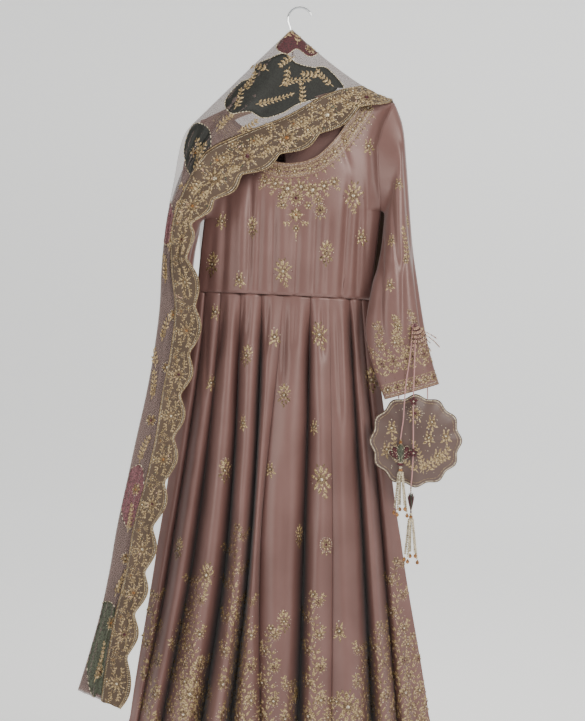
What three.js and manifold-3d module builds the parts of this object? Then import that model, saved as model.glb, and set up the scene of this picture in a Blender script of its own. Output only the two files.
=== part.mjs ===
// Salwar kameez suit of mauve satin with a net dupatta, on a wooden hanger.
// Millimetres, +Z up. The origin is the seat of the hanger's hook, +X is to the right of the
// suit's front and the front faces -Y.

import * as THREE from 'three';
import { mergeVertices } from 'three/addons/utils/BufferGeometryUtils.js';
import Module from 'manifold-3d';

// Cloth and seams
const SILK = 1.6;
const NET = 1.0;
const BORDER = 1.6;
const SEAM = 0.3;
const SEAM_HALF = 0.2;

// Hanger
const TILT = THREE.MathUtils.degToRad(5);
const HANGER = { x: -4, z: -205, span: 186, rise: 50, thick: 11, round: 3, height: 24 };
const BAR = { radius: 5.5, half: 155.7, drop: -26 };
const HOOK = { wire: 2, radius: 24, seat: 0 };

// Kameez
const WAIST = { leftX: -201, leftZ: -553, rightX: 137, rightZ: -569 };
const HEM_Z = -1560;
const BODICE = { chest: 29, chestFall: 70, roundness: 3, armhole: 32 };
const NECK = { front: 124, back: 62 };
const CLOTH_OVER_ARM = 2.7;

const SIDE_RIGHT = [
  { z: -186, x: 184 }, { z: -230, x: 163 }, { z: -276, x: 150 }, { z: -340, x: 153 },
  { z: -395, x: 158 }, { z: -480, x: 148 }, { z: -569, x: 137 },
];
const SIDE_LEFT = [
  { z: -220, x: -193 }, { z: -262, x: -173 }, { z: -308, x: -161 }, { z: -368, x: -172 },
  { z: -410, x: -186 }, { z: -480, x: -194 }, { z: -553, x: -201 },
];
const ARMPIT = { left: -410, right: -395, gap: 3 };

// Skirt: the outline, then one row for each fold's valley, left to right
const SKIRT_SIDES = [
  { z: -561, left: -201, right: 137, depth: 37 },
  { z: -800, left: -240, right: 166, depth: 58 },
  { z: -1037, left: -277, right: 197, depth: 80 },
  { z: -1378, left: -331, right: 251, depth: 106 },
  { z: -1560, left: -367, right: 283, depth: 118 },
];
const FOLDS_FRONT = [
  { waist: -185, middle: -248, hem: -337, depth: 62 },
  { waist: -154, middle: -203, hem: -292, depth: 66 },
  { waist: -115, middle: -140, hem: -209, depth: 88 },
  { waist: -74, middle: -94, hem: -151, depth: 96 },
  { waist: -33, middle: -76, hem: -72, depth: 34 },
  { waist: 20, middle: 8, hem: -8, depth: 84 },
  { waist: 57, middle: 62, hem: 57, depth: 24 },
  { waist: 96, middle: 122, hem: 145, depth: 76 },
  { waist: 120, middle: 160, hem: 196, depth: 40 },
];
const FOLDS_BACK = [
  { waist: -178, middle: -240, hem: -318, depth: 58 },
  { waist: -142, middle: -190, hem: -246, depth: 74 },
  { waist: -96, middle: -128, hem: -182, depth: 40 },
  { waist: -60, middle: -84, hem: -104, depth: 90 },
  { waist: -14, middle: -20, hem: -40, depth: 66 },
  { waist: 24, middle: 34, hem: 22, depth: 86 },
  { waist: 62, middle: 84, hem: 98, depth: 48 },
  { waist: 98, middle: 130, hem: 160, depth: 80 },
  { waist: 122, middle: 168, hem: 226, depth: 44 },
];
const FOLD_STEPS = [0, 0.13, 0.36, 0.64, 0.87];
const SKIRT_ROWS = [-600, -660, -740, -840, -950, -1070, -1190, -1310, -1435];
const FOLD_START = 0.08;
const HEM_SWAY = 7;
const SKIRT_TOP = -561;
const SKIRT_MIDDLE = -1037;

// Sleeves: outer and inner edge of each ring, half depth and middle in Y
const SLEEVE_RIGHT = [
  { outX: 200, outZ: -233, inX: 165, inZ: -402, half: 42, mid: -2 },
  { outX: 207, outZ: -310, inX: 163, inZ: -428, half: 50, mid: -6 },
  { outX: 213, outZ: -405, inX: 158, inZ: -470, half: 54, mid: -12 },
  { outX: 218, outZ: -470, inX: 150, inZ: -508, half: 53, mid: -18 },
  { outX: 224, outZ: -522, inX: 139, inZ: -545, half: 48, mid: -30 },
  { outX: 238, outZ: -625, inX: 126, inZ: -630, half: 35, mid: -50 },
  { outX: 253, outZ: -692, inX: 141, inZ: -702, half: 25, mid: -56 },
  { outX: 265, outZ: -732, inX: 162, inZ: -761, half: 18, mid: -58 },
];
const SLEEVE_LEFT = [
  { outX: -218, outZ: -268, inX: -194, inZ: -420, half: 42, mid: 0 },
  { outX: -232, outZ: -342, inX: -198, inZ: -442, half: 48, mid: 2 },
  { outX: -242, outZ: -436, inX: -206, inZ: -480, half: 50, mid: 4 },
  { outX: -250, outZ: -522, inX: -213, inZ: -543, half: 48, mid: 6 },
  { outX: -260, outZ: -627, inX: -224, inZ: -632, half: 46, mid: 8 },
  { outX: -270, outZ: -704, inX: -235, inZ: -708, half: 46, mid: 8 },
  { outX: -281, outZ: -762, inX: -243, inZ: -766, half: 45, mid: 8 },
];

// Dupatta: a row for each scallop's cusp along the border, from the ridge over the hanger down.
// left and right are the ends of the row of cloth, lift its rise under the hook, gather how far
// it is folded into layers.
const DRAPE_FRONT = [
  { lx: -203, lz: -224, ly: 0, rx: 180, rz: -177, ry: 0, lift: 160, gather: 0, band: 56 },
  { lx: -216, lz: -240, ly: -30, rx: 115, rz: -198, ry: -34, lift: 118, gather: 0, band: 62 },
  { lx: -226, lz: -262, ly: -44, rx: 39, rz: -251, ry: -44, lift: 96, gather: 0.04, band: 64 },
  { lx: -233, lz: -290, ly: -54, rx: -37, rz: -292, ry: -56, lift: 76, gather: 0.12, band: 64 },
  { lx: -241, lz: -334, ly: -62, rx: -109, rz: -333, ry: -66, lift: 56, gather: 0.3, band: 62 },
  { lx: -251, lz: -386, ly: -68, rx: -162, rz: -382, ry: -76, lift: 34, gather: 0.55, band: 58 },
  { lx: -259, lz: -440, ly: -72, rx: -205, rz: -428, ry: -84, lift: 14, gather: 0.8, band: 40 },
  { lx: -264, lz: -512, ly: -76, rx: -214, rz: -492, ry: -88, lift: 4, gather: 1, band: 34 },
  { lx: -268, lz: -590, ly: -78, rx: -198, rz: -584, ry: -88, lift: 0, gather: 1, band: 40 },
  { lx: -279, lz: -674, ly: -78, rx: -209, rz: -674, ry: -88, lift: 0, gather: 1, band: 38 },
  { lx: -293, lz: -752, ly: -80, rx: -226, rz: -752, ry: -88, lift: 0, gather: 1, band: 36 },
  { lx: -311, lz: -832, ly: -82, rx: -238, rz: -832, ry: -90, lift: 0, gather: 1, band: 36 },
  { lx: -329, lz: -916, ly: -84, rx: -255, rz: -916, ry: -94, lift: 0, gather: 1, band: 38 },
  { lx: -347, lz: -1000, ly: -88, rx: -277, rz: -1000, ry: -98, lift: 0, gather: 1, band: 38 },
  { lx: -361, lz: -1084, ly: -92, rx: -291, rz: -1084, ry: -104, lift: 0, gather: 1, band: 38 },
  { lx: -377, lz: -1160, ly: -96, rx: -310, rz: -1162, ry: -108, lift: 0, gather: 1, band: 38 },
  { lx: -397, lz: -1234, ly: -100, rx: -324, rz: -1243, ry: -112, lift: 0, gather: 1, band: 38 },
  { lx: -419, lz: -1306, ly: -104, rx: -336, rz: -1338, ry: -116, lift: 0, gather: 1, band: 40 },
];
const DRAPE_BACK = [
  { lx: -203, lz: -224, ly: 0, rx: 180, rz: -177, ry: 0, lift: 160, gather: 0, band: 56 },
  { lx: -206, lz: -262, ly: 44, rx: 176, rz: -240, ry: 42, lift: 122, gather: 0, band: 56 },
  { lx: -204, lz: -352, ly: 58, rx: 174, rz: -322, ry: 54, lift: 70, gather: 0.08, band: 56 },
  { lx: -200, lz: -462, ly: 66, rx: 170, rz: -404, ry: 62, lift: 36, gather: 0.2, band: 56 },
  { lx: -198, lz: -572, ly: 70, rx: 160, rz: -488, ry: 66, lift: 14, gather: 0.3, band: 56 },
  { lx: -200, lz: -682, ly: 76, rx: 150, rz: -572, ry: 70, lift: 0, gather: 0.38, band: 56 },
  { lx: -205, lz: -792, ly: 84, rx: 144, rz: -656, ry: 78, lift: 0, gather: 0.42, band: 56 },
  { lx: -212, lz: -902, ly: 92, rx: 140, rz: -740, ry: 86, lift: 0, gather: 0.44, band: 56 },
  { lx: -218, lz: -1012, ly: 102, rx: 136, rz: -824, ry: 96, lift: 0, gather: 0.46, band: 56 },
  { lx: -222, lz: -1122, ly: 112, rx: 132, rz: -908, ry: 104, lift: 0, gather: 0.46, band: 56 },
  { lx: -226, lz: -1232, ly: 120, rx: 128, rz: -992, ry: 112, lift: 0, gather: 0.46, band: 56 },
  { lx: -228, lz: -1330, ly: 126, rx: 124, rz: -1076, ry: 118, lift: 0, gather: 0.46, band: 56 },
];
const FRONT_PLEATS = { layers: 5, spacing: 4.6, turn: 2.3 };
const BACK_PLEATS = { layers: 3, spacing: 9, turn: 4.5 };
const SCALLOP = { depth: 15, steps: 4 };
const FOLD_EARLY = 2.5;
const HOOK_SLIT = 3.1;

// Wrist pouch, its cords and tassels
const POUCH = { x: 220, y: -62, z: -840, radius: 86, scallops: 12, wave: 3.2, thick: 30 };
const CORD = { radius: 1.2, sides: 8 };
const KNOT = { x: 214.5, z: -622, y: -84, radius: 5 };
const CORD_LEFT = [
  [212.6, -84, -626.9], [211.8, -85.9, -635.7], [211, -87.4, -645], [209.7, -87.6, -659.4],
  [208, -87, -675], [205.6, -86.4, -692.5], [203, -85.6, -710], [200.8, -84.8, -725.1],
  [199, -84, -740], [197.9, -83.6, -755], [197, -83.4, -770], [196.1, -83.2, -785.4],
  [195, -83, -800], [193.5, -82.7, -810.4], [192, -82.4, -820], [191, -82.2, -828],
  [190, -82, -835.7],
];
const CORD_RIGHT = [
  [216.4, -84, -626.9], [216.8, -86, -635.7], [217, -87.6, -645], [216.9, -87.7, -659.4],
  [216.5, -87, -675], [216, -86.4, -692.5], [215.5, -85.6, -710], [215, -84.7, -724.9],
  [214.5, -84, -740], [214.2, -83.7, -759.6], [214, -83.6, -780], [214, -83.5, -800],
  [214, -83.4, -820], [214, -83.2, -840], [213.8, -83, -860], [213.1, -82.7, -880.5],
  [212, -82.4, -900], [210.8, -82.2, -913.5], [209.5, -82, -926.3],
];
const POUCH_LOOP = [
  [188, -62, -760], [187.7, -62, -750.4], [187.5, -62, -740], [187.3, -61.7, -720.4],
  [188, -62, -700], [189.7, -63.4, -684.9], [193, -66, -672], [197.4, -69.5, -663.9],
  [203, -73, -658], [208.3, -75.4, -655.1], [214, -76.6, -654], [219.6, -75.4, -655.1],
  [225, -73, -658], [231, -69.5, -663.9], [236, -66, -672], [239.8, -63.4, -685],
  [242, -62, -700], [242.9, -61.7, -717.6], [243, -62, -735], [243, -62, -747.7],
  [243, -62, -759.8],
];
const TASSELS = [
  { name: 'left', x: 190, y: -82, charmTop: -836, charmWide: 40, charmTall: 50, charmThick: 7, strands: 5, long: 84 },
  { name: 'right', x: 209.5, y: -82, charmTop: -926.6, charmWide: 10, charmTall: 48, charmThick: 30, strands: 5, long: 84 },
];
const STRAND = { radius: 1.9, bead: 2.6, pitch: 4.2 };
const FRINGE = { x: 217, strands: 9, short: 34, long: 66 };
const FLOWER = {
  petals: 5, radius: 8, thick: 3, clear: 0.2, heights: [-764, -862],
};

// Salwar folded over the bar
const SALWAR = { left: -38, right: 84, thick: 8, front: 285, back: 270 };

const silk = new THREE.MeshStandardMaterial({ color: '#8a6c67', roughness: 0.42, metalness: 0 });
const net = new THREE.MeshStandardMaterial({ color: '#8d7878', roughness: 0.8, metalness: 0 });
const zari = new THREE.MeshStandardMaterial({ color: '#a08a66', roughness: 0.45, metalness: 0.5 });
const cordSilk = new THREE.MeshStandardMaterial({ color: '#9d6f70', roughness: 0.6, metalness: 0 });
const maroon = new THREE.MeshStandardMaterial({ color: '#5d2f35', roughness: 0.6, metalness: 0 });
const pearl = new THREE.MeshStandardMaterial({ color: '#d8cbb8', roughness: 0.3, metalness: 0 });
const wood = new THREE.MeshStandardMaterial({ color: '#a9825c', roughness: 0.5, metalness: 0 });
const steel = new THREE.MeshStandardMaterial({ color: '#b9bcc0', roughness: 0.25, metalness: 1 });

const { clamp, lerp, smoothstep } = THREE.MathUtils;
const suit = new THREE.Group();

function add(name, geometry, material, parent = suit) {
  const mesh = new THREE.Mesh(geometry, material);
  mesh.name = name;
  parent.add(mesh);
  return mesh;
}

// Reads a column of a table whose rows run in one direction of another column
function read(table, by, value, column) {
  const rising = table[table.length - 1][by] > table[0][by];
  let i = 1;
  while (i < table.length - 1 && (rising ? value > table[i][by] : value < table[i][by])) i += 1;
  const from = table[i - 1];
  const to = table[i];
  const t = clamp((value - from[by]) / (to[by] - from[by]), 0, 1);
  return lerp(from[column], to[column], t);
}

// A smooth curve through one column of a table, at a fractional row
function smoothColumn(table, row, column) {
  const last = table.length - 1;
  const i = Math.min(Math.floor(row), last - 1);
  const t = row - i;
  const value = (k) => table[clamp(k, 0, last)][column];
  const [a, b, c, d] = [value(i - 1), value(i), value(i + 1), value(i + 2)];
  return b + 0.5 * t * (c - a + t * (2 * a - 5 * b + 4 * c - d + t * (3 * (b - c) + d - a)));
}

// A closed body from a list of corners and faces, turned outward if it came out inside out
function closedBody(corners, faces) {
  let volume = 0;
  const cross = new THREE.Vector3();
  for (const [a, b, c] of faces) volume += corners[a].dot(cross.crossVectors(corners[b], corners[c]));
  const turned = volume < 0 ? faces.map(([a, b, c]) => [a, c, b]) : faces;
  const geometry = new THREE.BufferGeometry();
  geometry.setAttribute('position', new THREE.Float32BufferAttribute(corners.flatMap((p) => p.toArray()), 3));
  geometry.setIndex(turned.flat());
  geometry.computeVertexNormals();
  return geometry;
}

// A wall about a sheet of points. closed joins the last column to the first. seat(i, j) names the
// directions that an edge's thickness must not lean in, so that two pieces meet square at a seam.
function wall(rows, thickness, { closed = false, seat = () => [] } = {}) {
  const height = rows.length;
  const width = rows[0].length;
  const point = (i, j) => rows[clamp(i, 0, height - 1)][closed ? (j + width) % width : clamp(j, 0, width - 1)];
  const outer = [];
  const inner = [];
  for (let i = 0; i < height; i += 1) {
    for (let j = 0; j < width; j += 1) {
      const down = point(i + 1, j).clone().sub(point(i - 1, j));
      const across = point(i, j + 1).clone().sub(point(i, j - 1));
      const normal = across.cross(down).normalize();
      let stretch = 1;
      for (const axis of seat(i, j)) {
        normal.setComponent(axis, 0);
      }
      if (seat(i, j).length > 0) {
        stretch = Math.min(1.4, 1 / Math.max(normal.length(), 0.01));
        normal.normalize();
      }
      outer.push(point(i, j).clone().addScaledVector(normal, 0.5 * thickness * stretch));
      inner.push(point(i, j).clone().addScaledVector(normal, -0.5 * thickness * stretch));
    }
  }
  const back = height * width;
  const faces = [];
  const quad = (a, b, c, d) => faces.push([a, b, c], [a, c, d]);
  const spans = closed ? width : width - 1;
  for (let i = 0; i < height - 1; i += 1) {
    for (let j = 0; j < spans; j += 1) {
      const k = (j + 1) % width;
      const [a, b, c, d] = [i * width + j, i * width + k, (i + 1) * width + k, (i + 1) * width + j];
      quad(a, b, c, d);
      quad(back + d, back + c, back + b, back + a);
    }
  }
  for (let j = 0; j < spans; j += 1) {
    const k = (j + 1) % width;
    const end = (height - 1) * width;
    quad(k, j, back + j, back + k);
    quad(end + j, end + k, back + end + k, back + end + j);
  }
  if (!closed) {
    for (let i = 0; i < height - 1; i += 1) {
      const [a, b] = [i * width, (i + 1) * width];
      quad(a, b, back + b, back + a);
      quad(b + width - 1, a + width - 1, back + a + width - 1, back + b + width - 1);
    }
  }
  return closedBody([...outer, ...inner], faces);
}

// A solid of rings that closes to a point at both ends
function ringedSolid(rings, first, last) {
  const width = rings[0].length;
  const corners = [...rings.flat(), first, last];
  const top = rings.length * width;
  const faces = [];
  for (let j = 0; j < width; j += 1) {
    const k = (j + 1) % width;
    faces.push([top, j, k]);
    for (let i = 0; i < rings.length - 1; i += 1) {
      const [a, b, c, d] = [i * width + j, i * width + k, (i + 1) * width + k, (i + 1) * width + j];
      faces.push([a, d, c], [a, c, b]);
    }
    const end = (rings.length - 1) * width;
    faces.push([top + 1, end + k, end + j]);
  }
  return closedBody(corners, faces);
}

function cord(points, radius, steps) {
  const path = new THREE.CatmullRomCurve3(points.map((p) => new THREE.Vector3(...p)), false, 'centripetal');
  const section = new THREE.Shape();
  for (let i = 0; i < CORD.sides; i += 1) {
    const angle = (2 * Math.PI * i) / CORD.sides;
    const [x, y] = [radius * Math.cos(angle), radius * Math.sin(angle)];
    if (i === 0) section.moveTo(x, y);
    else section.lineTo(x, y);
  }
  section.closePath();
  return new THREE.ExtrudeGeometry(section, { extrudePath: path, steps, curveSegments: 1 });
}

// Hanger
const armTop = (x) => HANGER.rise * (1 - (Math.min(Math.abs(x), HANGER.span) / HANGER.span) ** 1.5);

// Height of the hanger's arm under a world X, with the hanger's tilt
function armHeight(x) {
  let local = x - HANGER.x;
  for (let i = 0; i < 6; i += 1) local = (x - HANGER.x + armTop(local) * Math.sin(TILT)) / Math.cos(TILT);
  return HANGER.z + local * Math.sin(TILT) + armTop(local) * Math.cos(TILT);
}

function armsShape() {
  const lug = 156;
  const shape = new THREE.Shape();
  const top = [];
  for (let i = 0; i <= 16; i += 1) top.push(lerp(-HANGER.span + 6, HANGER.span - 6, i / 16));
  const points = top.map((x) => [x, armTop(x)]);
  points.push([HANGER.span, -8], [HANGER.span - 4, -30], [172, -44], [lug, -44], [lug, armTop(lug) - HANGER.height]);
  for (const x of [110, 55, 0, -55, -110]) points.push([x, armTop(x) - HANGER.height]);
  points.push([-lug, armTop(lug) - HANGER.height], [-lug, -44], [-172, -44], [4 - HANGER.span, -30], [-HANGER.span, -8]);
  shape.setFromPoints(points.map(([x, z]) => new THREE.Vector2(x, z)));
  return shape;
}

function addHanger() {
  const frame = new THREE.Group();
  frame.position.set(HANGER.x, 0, HANGER.z);
  frame.rotation.y = -TILT;
  suit.add(frame);
  const depth = HANGER.thick - 2 * HANGER.round;
  const arms = new THREE.ExtrudeGeometry(armsShape(), {
    depth, bevelThickness: HANGER.round, bevelSize: HANGER.round, bevelOffset: -HANGER.round, bevelSegments: 1,
  });
  arms.rotateX(Math.PI / 2);
  arms.translate(0, depth / 2, 0);
  add('hanger_arms', arms, wood, frame);
  const bar = new THREE.CylinderGeometry(BAR.radius, BAR.radius, 2 * BAR.half, 16);
  bar.rotateZ(Math.PI / 2);
  bar.translate(0, 0, BAR.drop);
  add('hanger_bar', bar, wood, frame);

  const route = [];
  const centre = HOOK.seat + HOOK.wire - HOOK.radius;
  for (const angle of [18, 40, 62, 84, 106, 128, 150, 172, 194, 212]) {
    const turn = THREE.MathUtils.degToRad(angle);
    route.push([HOOK.radius * Math.cos(turn), 0, centre + HOOK.radius * Math.sin(turn)]);
  }
  const foot = armTop(0) + SEAM;
  for (const up of [110, 80, 45, 20, 8, 0]) {
    const local = foot + up;
    route.push([HANGER.x - local * Math.sin(TILT), 0, HANGER.z + local * Math.cos(TILT)]);
  }
  add('hanger_hook', cord(route, HOOK.wire, 26), steel);
}

// Kameez
const shoulderHeight = (x) => armHeight(x) + CLOTH_OVER_ARM;
const waistX = (t) => lerp(WAIST.leftX, WAIST.rightX, t);
const waistZ = (t) => lerp(WAIST.leftZ, WAIST.rightZ, t);
const sideX = (t, z) => lerp(read(SIDE_LEFT, 'z', z, 'x'), read(SIDE_RIGHT, 'z', z, 'x'), t);
const STRAP_LEFT = 0.15;
const STRAP_RIGHT = 0.832;
// Where the neck edge comes forward over the hanger's arm, it drops by these steps
const NECK_LEAD = [{ w: 0.004, down: 0.4 }, { w: 0.01, down: 2.2 }, { w: 0.018, down: 5 }, { w: 0.03, down: 14 }];
const NECK_MIDDLE = [0.08, 0.16, 0.28, 0.42, 0.58, 0.72, 0.84, 0.92];
const NECK_COLUMNS = [...NECK_LEAD.map(({ w }) => w), ...NECK_MIDDLE, ...NECK_LEAD.map(({ w }) => 1 - w).reverse()];
const BODICE_COLUMNS = [
  0, 0.05, 0.1, STRAP_LEFT, ...NECK_COLUMNS.map((w) => lerp(STRAP_LEFT, STRAP_RIGHT, w)),
  STRAP_RIGHT, 0.89, 0.945, 1,
];
const BODICE_LOWER = [0, 0.25, 0.5, 0.75, 1];
const BODICE_UPPER = [0.2, 0.4, 0.6, 0.8];
const OVER_ARM = [{ down: 14, out: 10 }, { down: 5, out: 9.2 }, { down: 0.4, out: 4.6 }, { down: 0, out: SEAM / 2 }];
const NECK_STEPS = [21, 14, 7, 0];

const isStrap = (t) => t <= STRAP_LEFT + 1e-6 || t >= STRAP_RIGHT - 1e-6;

// How far the neck edge has dropped beside a strap, or null past the hanger's arm
function leadDrop(t) {
  const w = (t - STRAP_LEFT) / (STRAP_RIGHT - STRAP_LEFT);
  const lead = NECK_LEAD.find((step) => Math.abs(Math.min(w, 1 - w) - step.w) < 1e-6);
  return lead ? lead.down : null;
}

// Height of a bodice panel's top edge: the shoulder seams and the scoop between them
function topEdge(t, neckDepth) {
  const topX = lerp(SIDE_LEFT[0].x, SIDE_RIGHT[0].x, t);
  if (isStrap(t)) return shoulderHeight(topX);
  if (leadDrop(t) !== null) return shoulderHeight(topX) - leadDrop(t);
  const w = (2 * (t - STRAP_LEFT)) / (STRAP_RIGHT - STRAP_LEFT) - 1;
  const ends = [STRAP_LEFT, STRAP_RIGHT].map((s) => shoulderHeight(lerp(SIDE_LEFT[0].x, SIDE_RIGHT[0].x, s)));
  const line = lerp(ends[0], ends[1], (w + 1) / 2);
  return line - neckDepth * (1 - Math.abs(w) ** 2.4) ** 0.62;
}

// How far a panel stands out of the middle plane
function bodiceDepth(t, z) {
  const x = sideX(t, z);
  const down = Math.max(shoulderHeight(clamp(x, -188, 180)) - z, 0);
  const over = read([...OVER_ARM].reverse(), 'down', down, 'out');
  const middle = over + BODICE.chest * (1 - Math.exp(-down / BODICE.chestFall));
  const tip = t < 0.5 ? SIDE_LEFT[0].z : SIDE_RIGHT[0].z;
  const armpit = t < 0.5 ? ARMPIT.left : ARMPIT.right;
  const rise = clamp((2 * (z - armpit)) / (tip - armpit) - 1, -1, 1);
  const armhole = z > armpit ? BODICE.armhole * Math.sqrt(1 - rise * rise) : 0;
  const bulge = 1 - Math.abs(2 * t - 1) ** BODICE.roundness;
  return Math.max(armhole + (middle - armhole) * bulge, down < 15 ? Math.max(over, armhole * (1 - bulge)) : 0, SEAM / 2);
}

function bodiceRows(side, neckDepth) {
  const columns = BODICE_COLUMNS.map((t) => {
    const top = topEdge(t, neckDepth);
    const armpit = lerp(ARMPIT.left, ARMPIT.right, t);
    const steps = isStrap(t) || leadDrop(t) !== null ? OVER_ARM.map((row) => row.down) : NECK_STEPS;
    const floor = Math.min(armpit, top - 40);
    const heights = BODICE_LOWER.map((r) => lerp(waistZ(t) + SEAM / 2, floor, r));
    for (const r of BODICE_UPPER) heights.push(lerp(floor, top - steps[0], r));
    for (const step of steps) heights.push(top - step);
    return heights.map((z, i) => {
      const seam = isStrap(t) && i === heights.length - 1;
      const out = seam ? SEAM / 2 : bodiceDepth(t, z);
      return new THREE.Vector3(sideX(t, z), side * out, z);
    });
  });
  return columns[0].map((_, i) => columns.map((column) => column[i]));
}

const bodiceFront = bodiceRows(-1, NECK.front);
const bodiceBack = bodiceRows(1, NECK.back);
const ARMPIT_ROW = BODICE_LOWER.length - 1;

function bodiceSeat(rows) {
  return (i, j) => {
    const axes = [];
    const edge = j === 0 || j === rows[0].length - 1;
    if (edge && i > ARMPIT_ROW) axes.push(0);
    if (edge && i <= ARMPIT_ROW) axes.push(1);
    if (i === rows.length - 1 && isStrap(BODICE_COLUMNS[j])) axes.push(1);
    if (i === 0) axes.push(2);
    return axes;
  };
}

// Skirt panels: round ridges and narrow valleys, deeper towards the hem
function skirtRows(side, folds) {
  const heights = [null, ...SKIRT_ROWS, HEM_Z];
  return heights.map((level) => {
    const row = [];
    const z0 = level ?? SKIRT_TOP;
    const fall = clamp((SKIRT_TOP - z0) / (SKIRT_TOP - HEM_Z), 0, 1);
    const valley = (fold) => (z0 > SKIRT_MIDDLE
      ? lerp(fold.waist, fold.middle, (SKIRT_TOP - z0) / (SKIRT_TOP - SKIRT_MIDDLE))
      : lerp(fold.middle, fold.hem, (SKIRT_MIDDLE - z0) / (SKIRT_MIDDLE - HEM_Z)));
    const left = read(SKIRT_SIDES, 'z', z0, 'left');
    const right = read(SKIRT_SIDES, 'z', z0, 'right');
    const depth = read(SKIRT_SIDES, 'z', z0, 'depth');
    const stations = [{ x: left, deep: 0 }, ...folds.map((f) => ({ x: valley(f), deep: f.depth })), { x: right, deep: 0 }];
    const growth = lerp(FOLD_START, 1, fall ** 0.8);
    for (let k = 0; k < stations.length; k += 1) {
      for (const step of k < stations.length - 1 ? FOLD_STEPS : [0]) {
        const from = stations[k];
        const to = stations[Math.min(k + 1, stations.length - 1)];
        const x = lerp(from.x, to.x, step);
        const t = (x - left) / (right - left);
        const envelope = depth * (1 - Math.abs(2 * t - 1) ** BODICE.roundness);
        const ridge = Math.sin(Math.PI * step) ** 0.7;
        const deep = Math.min(lerp(from.deep, to.deep, step) * growth, 0.86 * envelope);
        const out = Math.max(envelope - deep * (1 - ridge), SEAM / 2);
        const z = level === null ? waistZ(t) - SEAM / 2 : level - (level === HEM_Z ? HEM_SWAY * (ridge - 0.5) : 0);
        row.push(new THREE.Vector3(x, side * out, z));
      }
    }
    return row;
  });
}

const skirtSeat = (rows) => (i, j) => {
  const axes = [];
  if (j === 0 || j === rows[0].length - 1) axes.push(1);
  if (i === 0) axes.push(2);
  return axes;
};

// Sleeve: its first ring follows the bodice's armhole, the others are ovals down the arm
function sleeveRows(sign, table) {
  const edge = sign > 0 ? BODICE_COLUMNS.length - 1 : 0;
  const front = bodiceFront.slice(ARMPIT_ROW).map((row) => row[edge]);
  const back = bodiceBack.slice(ARMPIT_ROW).map((row) => row[edge]);
  const armhole = [...front, ...back.slice(1, -1).reverse()].map((p, i) => {
    const gap = i === 0 ? ARMPIT.gap : SEAM;
    const middle = i === 0 || i === front.length - 1;
    return new THREE.Vector3(p.x + sign * gap, middle ? 0 : p.y, p.z);
  });
  const rows = [armhole];
  const low = armhole[0].z;
  const tall = armhole[front.length - 1].z - low;
  table.forEach((ring, k) => {
    rows.push(armhole.map((p, j) => {
      const own = Math.acos(clamp(1 - (2 * (p.z - low)) / tall, -1, 1));
      const even = (Math.PI * (j < front.length ? j : armhole.length - j)) / (front.length - 1);
      const angle = lerp(own, even, Math.min(1, (k + 1) / 2));
      const along = (1 - Math.cos(angle)) / 2;
      const facing = j < front.length ? -1 : 1;
      return new THREE.Vector3(
        lerp(ring.inX, ring.outX, along),
        ring.mid + facing * ring.half * Math.sin(angle),
        lerp(ring.inZ, ring.outZ, along),
      );
    }));
  });
  return rows;
}

function addKameez() {
  add('bodice_front', wall(bodiceFront, SILK, { seat: bodiceSeat(bodiceFront) }), silk);
  add('bodice_back', wall(bodiceBack, SILK, { seat: bodiceSeat(bodiceBack) }), silk);
  const skirtFront = skirtRows(-1, FOLDS_FRONT);
  const skirtBack = skirtRows(1, FOLDS_BACK);
  add('skirt_front', wall(skirtFront, SILK, { seat: skirtSeat(skirtFront) }), silk);
  add('skirt_back', wall(skirtBack, SILK, { seat: skirtSeat(skirtBack) }), silk);
  const armholeSeat = (i) => (i === 0 ? [0] : []);
  add('sleeve_right', wall(sleeveRows(1, SLEEVE_RIGHT), SILK, { closed: true, seat: armholeSeat }), silk);
  add('sleeve_left', wall(sleeveRows(-1, SLEEVE_LEFT), SILK, { closed: true, seat: armholeSeat }), silk);
}

// Dupatta: the columns run from the far edge, hidden in the layers, to the border's edge in front
function pleatColumns({ layers }) {
  const columns = [];
  for (let n = 0; n < layers; n += 1) {
    const rightward = (layers - 1 - n) % 2 === 0;
    for (const part of [0, 0.5, 1]) columns.push({ layer: n, part: rightward ? part : 1 - part, turn: 0 });
    if (n < layers - 1) {
      for (const turn of [1 / 3, 2 / 3]) columns.push({ layer: n, part: rightward ? 1 : 0, turn });
    }
  }
  return columns;
}

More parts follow.
